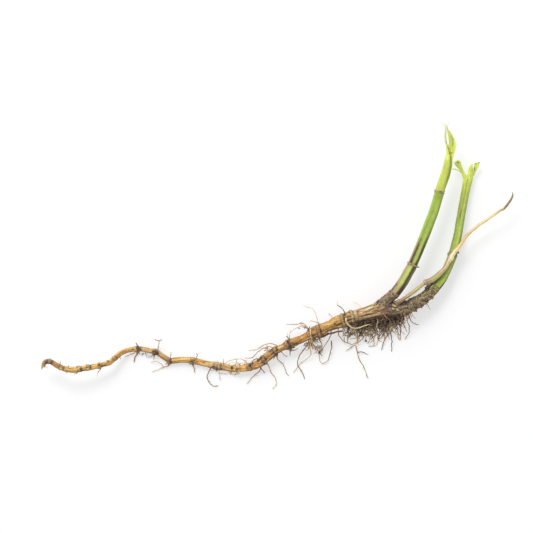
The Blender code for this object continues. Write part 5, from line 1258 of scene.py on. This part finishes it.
def tall_paint(place, angle, facing):
    """The shares of wine, pale groove, dark crease, lime and tan at a point of the tall stem. The
    crease is painted shade of the fold where the torn top lies flat.

    They run along it as stripes, each at its own angle from the groove that is listed, and the
    stripes below the lower ring are others than those above it.
    """
    off = (math.degrees(angle) - facing + 180) % 360 - 180
    ragged = 6 * noise.noise(place * 0.8)
    along = place.y + 0.3 * ragged
    low = past_ring(place, JOINT_RINGS[0]) + 0.12 * noise.noise(place * 1.2)
    high = past_ring(place, JOINT_RINGS[1]) + 0.30 * noise.noise(place * 0.9)
    blotch = ease(0.0, 0.35, noise.noise(place * 1.5))
    foot = 1 - ease(-14.5, -9.0, low + 0.3 * ragged)
    lime = ease(0.35, 0.75, high)
    if low < 0:
        wine = bell(off + ragged, 40, 13) + 0.44 * ease(46, 56, off + ragged)
        wine += 0.80 * ease(90, 100, off + ragged) + 0.9 * foot * bell(off + ragged, -38, 17)
        wine += 0.45 * ease(-50, -64, off) + 0.5 * foot * ease(34, 44, off)
        tan = 0.85 * ease(-10, -24, off + ragged) + (0.8 * foot + 0.25) * blotch * bell(off, 0, 30)
        tan += 0.55 * foot * bell(off, 4, 34) + 0.5 * ease(50, 64, off + ragged)
        panel = bell(off, 10, 20) * (1 - foot)
    else:
        left, right = 1 - ease(1.0, 12.0, along), 1 - ease(3.0, 16.0, along)
        wine = 1.2 * left * bell(off + ragged, -42, 17) + 1.1 * right * bell(off + ragged, 28, 14)
        wine += 0.30 * (1 - ease(12, 22, along)) * bell(off, -42, 8)
        tan = 0.85 * (1 - ease(2, 15, along)) * ease(58, 68, -off)
        tan += 0.45 * ease(8, 14, along) * (1 - ease(27, 31, along)) * bell(off, 56, 14)
        panel = bell(off, -6, 22) * (1 - ease(24, 31, place.y))
        lime = max(lime, 0.8 * (1 - ease(12, 20, along)) * bell(off, 68, 16))
    # painted shade, in the stem's own wine red: the bands on both sides of the lower ring, where the
    # raised ring meets the stem. The line just above the upper ring is the stem's own.
    wine += 0.55 * (bell(low, 0.72, 0.30) + bell(low, -0.66, 0.22)) + 0.9 * bell(high, 0.42, 0.24)
    tan = max(tan, bell(low, 0.02, 0.42), 0.85 * bell(high, -0.06, 0.30))
    wine *= 1 - bell(low, 0.02, 0.38)
    # painted shade: a dark crease where the stem's torn top folds flat
    middle = 62 - 16 * ease(34, 39, place.y) - 20 * ease(44, 49, place.y)
    crease = bell(math.degrees(angle), middle, 9 + 13 * ease(35, 40, place.y))
    return wine, panel, crease * ease(32.5, 34, place.y), lime, tan


def add_stem(name, listed, paint):
    """A ribbed stem that keeps the shares of its colours."""
    rows = smooth_rows(listed, STEM_STEP)
    stem = add_skin(name, rows, STEM_SIDES, stem_relief)
    shares = [[], [], [], [], []]
    for vertex, skin in zip(stem.data.vertices, stem.data.attributes["skin"].data):
        place = vertex.co / MM
        row = min(rows, key=lambda row: (row[0] - place.x) ** 2 + (row[1] - place.y) ** 2)
        angle = math.atan2(skin.vector.x, skin.vector.y)
        for values, value in zip(shares, paint(place, angle, row[4])):
            values.append(min(1.0, max(0.0, value)))
    for share, values in zip(("wine", "panel", "crease", "lime", "tan"), shares):
        keep_values(stem, share, values)
    return stem


def stem_finish(name, green, panel_green, lime, crease):
    """Living stem: green with pale grooves, dark edges, painted shade down its right side, wine red
    ribs and fine long lines.
    """
    finish, shader, place = new_finish(name)
    lines = place.kept("skin", 1).stretched(1.0, 1.0, 0.05).grain(3.2, 3.0, 0.6)
    patch = place.grain(0.25, 2.0, 0.5)
    fleck = place.grain(3.4, 3.0, 0.6)
    edge = place.kept("proud").rise(0.14, 0.34)
    panel = place.kept("panel")
    pale = place.grain(1.5, 3.0, 0.65)
    colour = painted(
        green,
        (panel * (0.7 + 0.5 * lines), panel_green),
        (0.45 * edge * (1 - panel), EDGE_GREEN),
        # painted shade: the right side, away from the lamps, is darker green
        (0.5 * place.kept("aside").rise(0.72, 0.98), EDGE_GREEN),
        (place.kept("lime"), lime),
        (0.30 * patch.rise(0.40, 0.70) + 0.35 * lines.rise(0.55, 0.72), EDGE_GREEN),
        (0.35 * lines.rise(0.45, 0.25), panel_green),
        (0.55 * panel * pale.rise(0.52, 0.64), GROOVE_PALE),
        # on the tall stem the crease coat is painted shade of the fold at its torn top
        (place.kept("crease") * (0.75 + 0.4 * fleck), crease),
        (place.kept("tan") * (0.6 + 0.6 * fleck), RIB_TAN),
        (place.kept("wine") * (0.6 + 0.8 * fleck), WINE_RED),
    )
    connect(shader, colour, 0.36 + 0.25 * fleck, lines + 0.4 * fleck, 0.05)
    shader.inputs["Specular IOR Level"].default_value = 0.35
    return finish


tall_stem = add_stem("tall_stem_dressed", TALL_STEM, tall_paint)
cover(tall_stem, stem_finish("tall_green", STEM_GREEN, PANEL_GREEN, LIME_GREEN, FOLD_SHADE_OLIVE))
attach(tall_stem, "root")
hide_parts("tall_stem")


def shred_finish(name):
    """Torn stem wall: pale and wet on its inner side, with darker fibres along it."""
    finish, shader, place = new_finish(name)
    light, dark = SHRED_COLOURS[name]
    fibres = place.stretched(1.0, 0.14, 1.0).grain(2.6, 3.0, 0.6)
    patch = place.grain(0.6, 2.0, 0.5)
    colour = (0.8 * fibres.rise(0.42, 0.62) + 0.3 * patch.rise(0.5, 0.7)).blend(light, dark)
    connect(shader, colour, 0.40 + 0.2 * patch, fibres, 0.06)
    return finish


front = add_blade("tall_front_wall", smooth_rows(TALL_FRONT), thickness=0.35, cup=0.40)
back = add_blade("tall_back_wall", smooth_rows(TALL_BACK), thickness=0.30, cup=-0.22)
shreds = [add_blade(f"tall_shred_{i}", smooth_rows(rows), thickness=0.26, cup=-0.15)
          for i, rows in enumerate(TALL_SHREDS)]
back = joined("tall_back_wall", [back] + shreds)
edge = tuple((row[3], row[4], row[5] + 0.25) for row in TALL_FRONT[2:7])
torn_edge = add_roots("tall_torn_edge", ((0.45, edge),), sides=6, wander=0.04, taper=0.4)
whiskers = add_roots("tall_whiskers", TALL_WHISKERS, sides=4, wander=0.1, taper=0.6)
for piece, name in ((front, "front_wall"), (back, "back_wall"), (torn_edge, "torn_edge"),
                    (whiskers, "pale_fibre")):
    cover(piece, shred_finish(name))
    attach(piece, "root")
    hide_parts("tall_stem")


# The split stem: the younger stem at the end of the branch. It lies down to the table, has lost
# its leaves, and its top has split in two arms whose torn ends curl over.
SPLIT_STEM = (                    # x, y, height, diameter, and where a groove faces, in degrees
    (79.2, -15.2, 6.3, 4.6, 6), (81.8, -11.7, 5.9, 4.5, 6), (83.6, -8.4, 5.6, 4.4, 6),
    (85.7, -3.7, 5.3, 4.4, 6), (86.7, -1.2, 5.1, 4.5, 4), (87.1, -0.1, 5.05, 4.6, 2),
    (87.25, 0.5, 5.0, 5.0, 0), (87.4, 1.1, 4.95, 4.6, -2), (87.8, 2.2, 4.9, 4.4, -4),
    (89.8, 9.8, 4.3, 4.3, -6), (90.8, 15.5, 3.8, 4.1, -8), (91.7, 20.7, 3.3, 4.0, -8),
    (92.5, 24.9, 2.8, 4.0, -8), (93.3, 29.3, 2.3, 4.0, -8), (94.2, 34.0, 2.2, 4.2, -8),
    (94.9, 37.4, 2.1, 4.5, -8), (95.2, 39.2, 2.1, 3.8, -8), (95.4, 40.4, 2.1, 1.4, -8),
)
LEFT_ARM = (                      # left and right edge points from the fork to the curled end
    (92.9, 35.4, 2.4, 95.0, 36.0, 3.6), (92.8, 38.0, 2.9, 94.8, 38.7, 4.0),
    (92.2, 40.4, 3.5, 93.8, 41.0, 4.1), (91.5, 42.0, 4.0, 92.8, 42.6, 4.3),
    (90.4, 43.4, 4.4, 92.0, 44.6, 4.6), (89.0, 45.0, 4.6, 91.5, 46.4, 4.8),
    (88.0, 46.1, 4.7, 90.8, 47.5, 4.8), (88.2, 46.8, 4.5, 89.8, 47.9, 4.5),
)
RIGHT_ARM = (
    (94.6, 35.6, 3.4, 96.8, 35.6, 2.2), (94.6, 38.0, 3.9, 97.5, 38.2, 2.7),
    (94.8, 40.2, 4.1, 97.7, 40.5, 3.1), (95.0, 42.2, 4.2, 97.6, 42.4, 3.5),
    (95.4, 44.0, 4.3, 97.5, 44.2, 3.9), (96.2, 45.3, 4.4, 97.3, 45.5, 4.1),
    (96.8, 45.9, 4.4, 97.1, 46.0, 4.2),
)
RIGHT_FLAP = (
    (97.2, 39.4, 2.8, 98.0, 40.0, 2.6), (97.6, 41.6, 3.3, 99.0, 42.0, 3.0),
    (97.9, 43.5, 3.8, 100.0, 43.9, 3.5), (98.1, 45.1, 4.1, 100.6, 45.5, 3.8),
    (98.4, 46.5, 4.3, 100.9, 46.8, 4.1),
)
TORN_ARMS = (                     # name, edges, thickness, and how far it is cupped
    ("left_arm", LEFT_ARM, 0.45, 0.18), ("right_arm", RIGHT_ARM, 0.45, 0.18),
    ("right_flap", RIGHT_FLAP, 0.40, -0.18),
)
ARM_STRAND = (                    # thickness and points of the fibres at the left arm's end
    (0.7, ((93.2, 40.6, 3.6), (91.5, 41.8, 4.4), (90.3, 42.7, 4.4), (88.9, 43.2, 4.1),
           (87.8, 43.4, 3.8))),
    (0.4, ((88.6, 46.6, 4.7), (88.0, 46.2, 4.6), (87.6, 46.9, 4.6))),
)
ARM_KNOB = ((87.9, 43.4, 3.8), (1.0, 0.9, 0.8))     # place and widths
SPLIT_GREEN = (0.32, 0.43, 0.055)
SPLIT_PANEL = (0.45, 0.56, 0.115)
SPLIT_LIME = (0.64, 0.73, 0.12)
SPLIT_CREASE = (0.27, 0.24, 0.05)
BUD_DARK = (0.08, 0.040, 0.032)
BUD_TAN = (0.32, 0.19, 0.10)
RING_BROWN = (0.30, 0.165, 0.11)
RING_TAN = (0.55, 0.36, 0.21)
STEM_BUDS = (                     # place, sizes: small brown buds and leaf scars on both stems
    ((90.75, 25.6, 3.0), (0.7, 1.3, 0.9)), ((85.1, 1.0, 5.2), (1.0, 1.2, 1.0)),
    ((89.1, -0.3, 5.2), (0.9, 1.5, 1.0)), ((90.0, 1.7, 5.4), (1.1, 1.0, 0.9)),
    ((69.7, -5.55, 9.7), (1.9, 0.6, 0.7)), ((65.2, -3.9, 9.6), (0.5, 0.4, 0.5)),
    ((78.3, 31.7, 11.6), (0.8, 0.6, 0.8)), ((82.8, 32.1, 11.6), (0.9, 0.6, 0.8)),
    ((89.9, 46.8, 5.5), (1.0, 0.7, 0.6)), ((95.1, 36.4, 4.3), (0.7, 0.8, 0.4)),
    ((100.5, 46.7, 4.2), (0.7, 0.4, 0.3)), ((98.2, 43.4, 4.0), (0.3, 2.2, 0.3)),
    ((79.6, -15.6, 8.2), (1.6, 1.0, 0.8)), ((76.9, -16.4, 8.6), (1.2, 1.4, 0.8)),
)


def split_paint(place, angle, facing):
    """The shares of wine, pale groove, dark crease, lime and tan at a point of the split stem."""
    off = (math.degrees(angle) - facing + 180) % 360 - 180
    ragged = 5 * noise.noise(place * 0.8)
    wine = 0.85 * (1 - ease(-14.5, -10.5, place.y + 0.3 * ragged)) * ease(20, 55, abs(off) + ragged)
    wine += 0.30 * bell((abs(off) + ragged) % 90, 45, 8) * (1 - ease(6, 22, place.y))
    wine += 0.8 * bell(off + ragged, -4, 9) * bell(place.y, 20.6, 2.4)
    ring = past_ring(place, JOINT_RINGS[2]) + 0.2 * noise.noise(place * 1.2)
    # painted shade, in the stem's own wine red: bands on both sides of the ring, where the raised ring
    # meets the stem
    wine += 0.5 * (bell(ring, 0.75, 0.3) + bell(ring, -0.7, 0.25))
    panel = 0.8 * bell(off, 24, 24)
    line = bell(off + 3 * noise.noise(place * 0.5), 4, 7) * ease(19, 26, place.y + ragged)
    line += 0.6 * bell(off, -38, 12) * (1 - ease(34, 38, place.y))
    return wine, panel, line, 0.85 * ease(24, 39, place.y), 0.9 * bell(ring, 0, 0.4)


split_stem = add_stem("split_stem_dressed", SPLIT_STEM, split_paint)
cover(split_stem, stem_finish("split_green", SPLIT_GREEN, SPLIT_PANEL, SPLIT_LIME, SPLIT_CREASE))
arms = [add_blade(name, smooth_rows(rows), thickness, cup)
        for name, rows, thickness, cup in TORN_ARMS]
arms.append(add_roots("arm_strand", ARM_STRAND, sides=8, wander=0.08, taper=0.3))
arms.append(add_lump("arm_knob", *ARM_KNOB, roughness=0.3, subdivisions=3))
arms = joined("torn_arms", arms)
cover(arms, shred_finish("torn_arm"))
for piece in (split_stem, arms):
    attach(piece, "root")
    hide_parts("split_stem")
buds = joined("stem_buds", [add_lump(f"bud_{i}", *bud, roughness=0.35, subdivisions=3)
                            for i, bud in enumerate(STEM_BUDS)])
rings = joined("joint_rings", [add_collar(f"ring_{i}", *row) for i, row in enumerate(JOINT_RINGS)])
for piece, name, scale, low, high, dark, light in (
        (buds, "brown_bud", 2.6, 0.40, 0.62, BUD_DARK, BUD_TAN),
        (rings, "joint_scar", 1.9, 0.42, 0.60, RING_BROWN, RING_TAN)):
    finish, shader, place = new_finish(name)
    spot = place.grain(scale, 3.0, 0.6)
    connect(shader, spot.rise(low, high).blend(dark, light), 0.6 + 0.2 * spot, spot, 0.08)
    cover(piece, finish)
    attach(piece, "root")
    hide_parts("split_stem", "tall_stem")


# The withered shoot: a side shoot that died and dried where it stood. It is still greenish at its
# foot, opens into a flat sheath that clasps the split stem, and ends as a thin brown straw.
SHOOT = (                         # x, y, height, width, depth
    (60.6, -22.7, 10.6, 2.2, 2.1), (62.0, -21.8, 10.8, 1.9, 1.8), (64.6, -20.1, 10.5, 1.8, 1.6),
    (67.7, -17.8, 10.1, 1.8, 1.5), (70.8, -15.4, 9.8, 1.8, 1.5), (72.7, -13.9, 9.7, 1.9, 1.5),
    (73.6, -13.1, 9.7, 2.9, 1.8), (74.5, -12.8, 9.6, 2.7, 1.4), (77.2, -11.7, 9.5, 2.9, 1.3),
    (79.6, -9.9, 9.4, 2.9, 1.3), (81.7, -7.9, 9.2, 2.5, 1.3), (83.6, -5.9, 9.0, 2.1, 1.4),
    (84.8, -3.4, 8.9, 2.1, 1.5), (85.7, -1.9, 8.9, 2.6, 1.8), (86.3, -0.9, 8.9, 3.1, 2.0),
    (87.1, 0.4, 8.8, 2.4, 1.6), (88.2, 2.1, 8.6, 2.2, 1.5), (90.1, 4.0, 8.4, 2.1, 1.4),
    (91.6, 6.3, 8.3, 1.8, 1.3), (92.8, 8.3, 8.2, 1.7, 1.2), (94.8, 10.7, 8.2, 1.5, 1.1),
    (97.5, 13.2, 8.3, 1.4, 1.0), (100.6, 15.6, 8.5, 1.3, 1.0), (104.2, 18.0, 8.8, 1.2, 1.0),
    (107.5, 20.3, 9.2, 1.1, 0.9), (110.7, 22.6, 9.6, 1.1, 0.9), (112.9, 23.8, 9.8, 1.1, 0.9),
    (115.8, 27.6, 10.2, 1.0, 0.8), (116.9, 30.1, 10.4, 0.8, 0.6), (116.8, 31.7, 10.5, 0.3, 0.2),
)
SHOOT_TONES = (                   # x and colour along the shoot
    (60.0, (0.26, 0.15, 0.13)), (63.5, (0.34, 0.26, 0.13)), (67.0, (0.47, 0.45, 0.13)),
    (71.8, (0.52, 0.49, 0.16)), (73.2, (0.46, 0.42, 0.31)), (74.6, (0.40, 0.24, 0.15)),
    (77.0, (0.42, 0.47, 0.15)), (81.0, (0.50, 0.48, 0.18)), (84.0, (0.66, 0.50, 0.28)),
    (86.3, (0.88, 0.77, 0.53)), (90.0, (0.82, 0.64, 0.34)), (94.0, (0.82, 0.60, 0.26)),
    (100.0, (0.90, 0.73, 0.30)), (107.0, (0.88, 0.71, 0.28)), (111.5, (0.64, 0.46, 0.17)),
    (113.4, (0.24, 0.16, 0.075)), (118.0, (0.32, 0.24, 0.14)),
)
SHOOT_EDGE = (0.36, 0.165, 0.11)
SHEATH_SHADE = (0.10, 0.045, 0.045)
SHOOT_BROWN = (0.38, 0.23, 0.10)
SHOOT_CREAM = (0.86, 0.74, 0.48)
SHEATH = (74.0, 84.5)             # x over which the shoot is an open sheath
SHEATH_EDGE_AND_SHADE = ((72.6, 74.0), (87.0, 83.0))     # x over which its pink-brown upper edge and the painted shade on its lower edge begin and end
SHOOT_STEP = 0.3
SHOOT_SIDES = 40
SHOOT_NODE = (73.4, -13.3, 9.7, 1.42, 38.0, 0.30)   # a ring, as in JOINT_RINGS


def shoot_relief(place, angle, run, row):
    """Dried ridges along the shoot, a fold in its sheath and crinkles across it."""
    around = spoke(angle)
    ridges = 0.09 * math.cos(6 * angle + 1.5 * noise.noise(around + UP * (run * 0.1)))
    crinkles = 0.11 * noise.noise(around * 1.5 + UP * (run * 0.9))
    opened, closed = SHEATH
    on_sheath = ease(opened, opened + 2, place.x) * (1 - ease(closed - 3, closed, place.x))
    fold = -0.28 * bell(math.degrees(angle), 24, 16) + 0.12 * bell(math.degrees(angle), -50, 18)
    return (ridges + crinkles) * min(1.0, row[3]) + fold * on_sheath


straw = add_skin("shoot", smooth_rows(SHOOT, SHOOT_STEP), SHOOT_SIDES, shoot_relief, 4)
shoot = joined("withered_shoot_dressed", [straw, add_collar("shoot_node", *SHOOT_NODE)])
finish, shader, place = new_finish("withered_straw_skin")
skin = place.kept("skin", 1)
aside = place.kept("aside")
along = place.part("X")
lines = skin.stretched(1.0, 1.0, 0.12).grain(3.4, 3.0, 0.6)
spot = place.grain(2.2, 3.0, 0.6)
on_sheath = along.rise(*SHEATH_EDGE_AND_SHADE[0]) * along.rise(*SHEATH_EDGE_AND_SHADE[1])
colour = painted(
    along.tones(SHOOT_TONES),
    (0.65 * lines.rise(0.50, 0.66), SHOOT_BROWN),
    ((0.55 + 0.45 * on_sheath) * aside.rise(-0.35, -0.85), SHOOT_EDGE),
    # painted shade: the sheath darkens on the side that lies against the split stem
    (on_sheath * aside.rise(0.55, 0.92), SHEATH_SHADE),
    (0.35 * spot.rise(0.55, 0.70), SHOOT_CREAM),
)
connect(shader, colour, 0.5 + 0.25 * spot, lines + 0.5 * spot, 0.06)
cover(shoot, finish)
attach(shoot, "root")
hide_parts("withered_shoot")
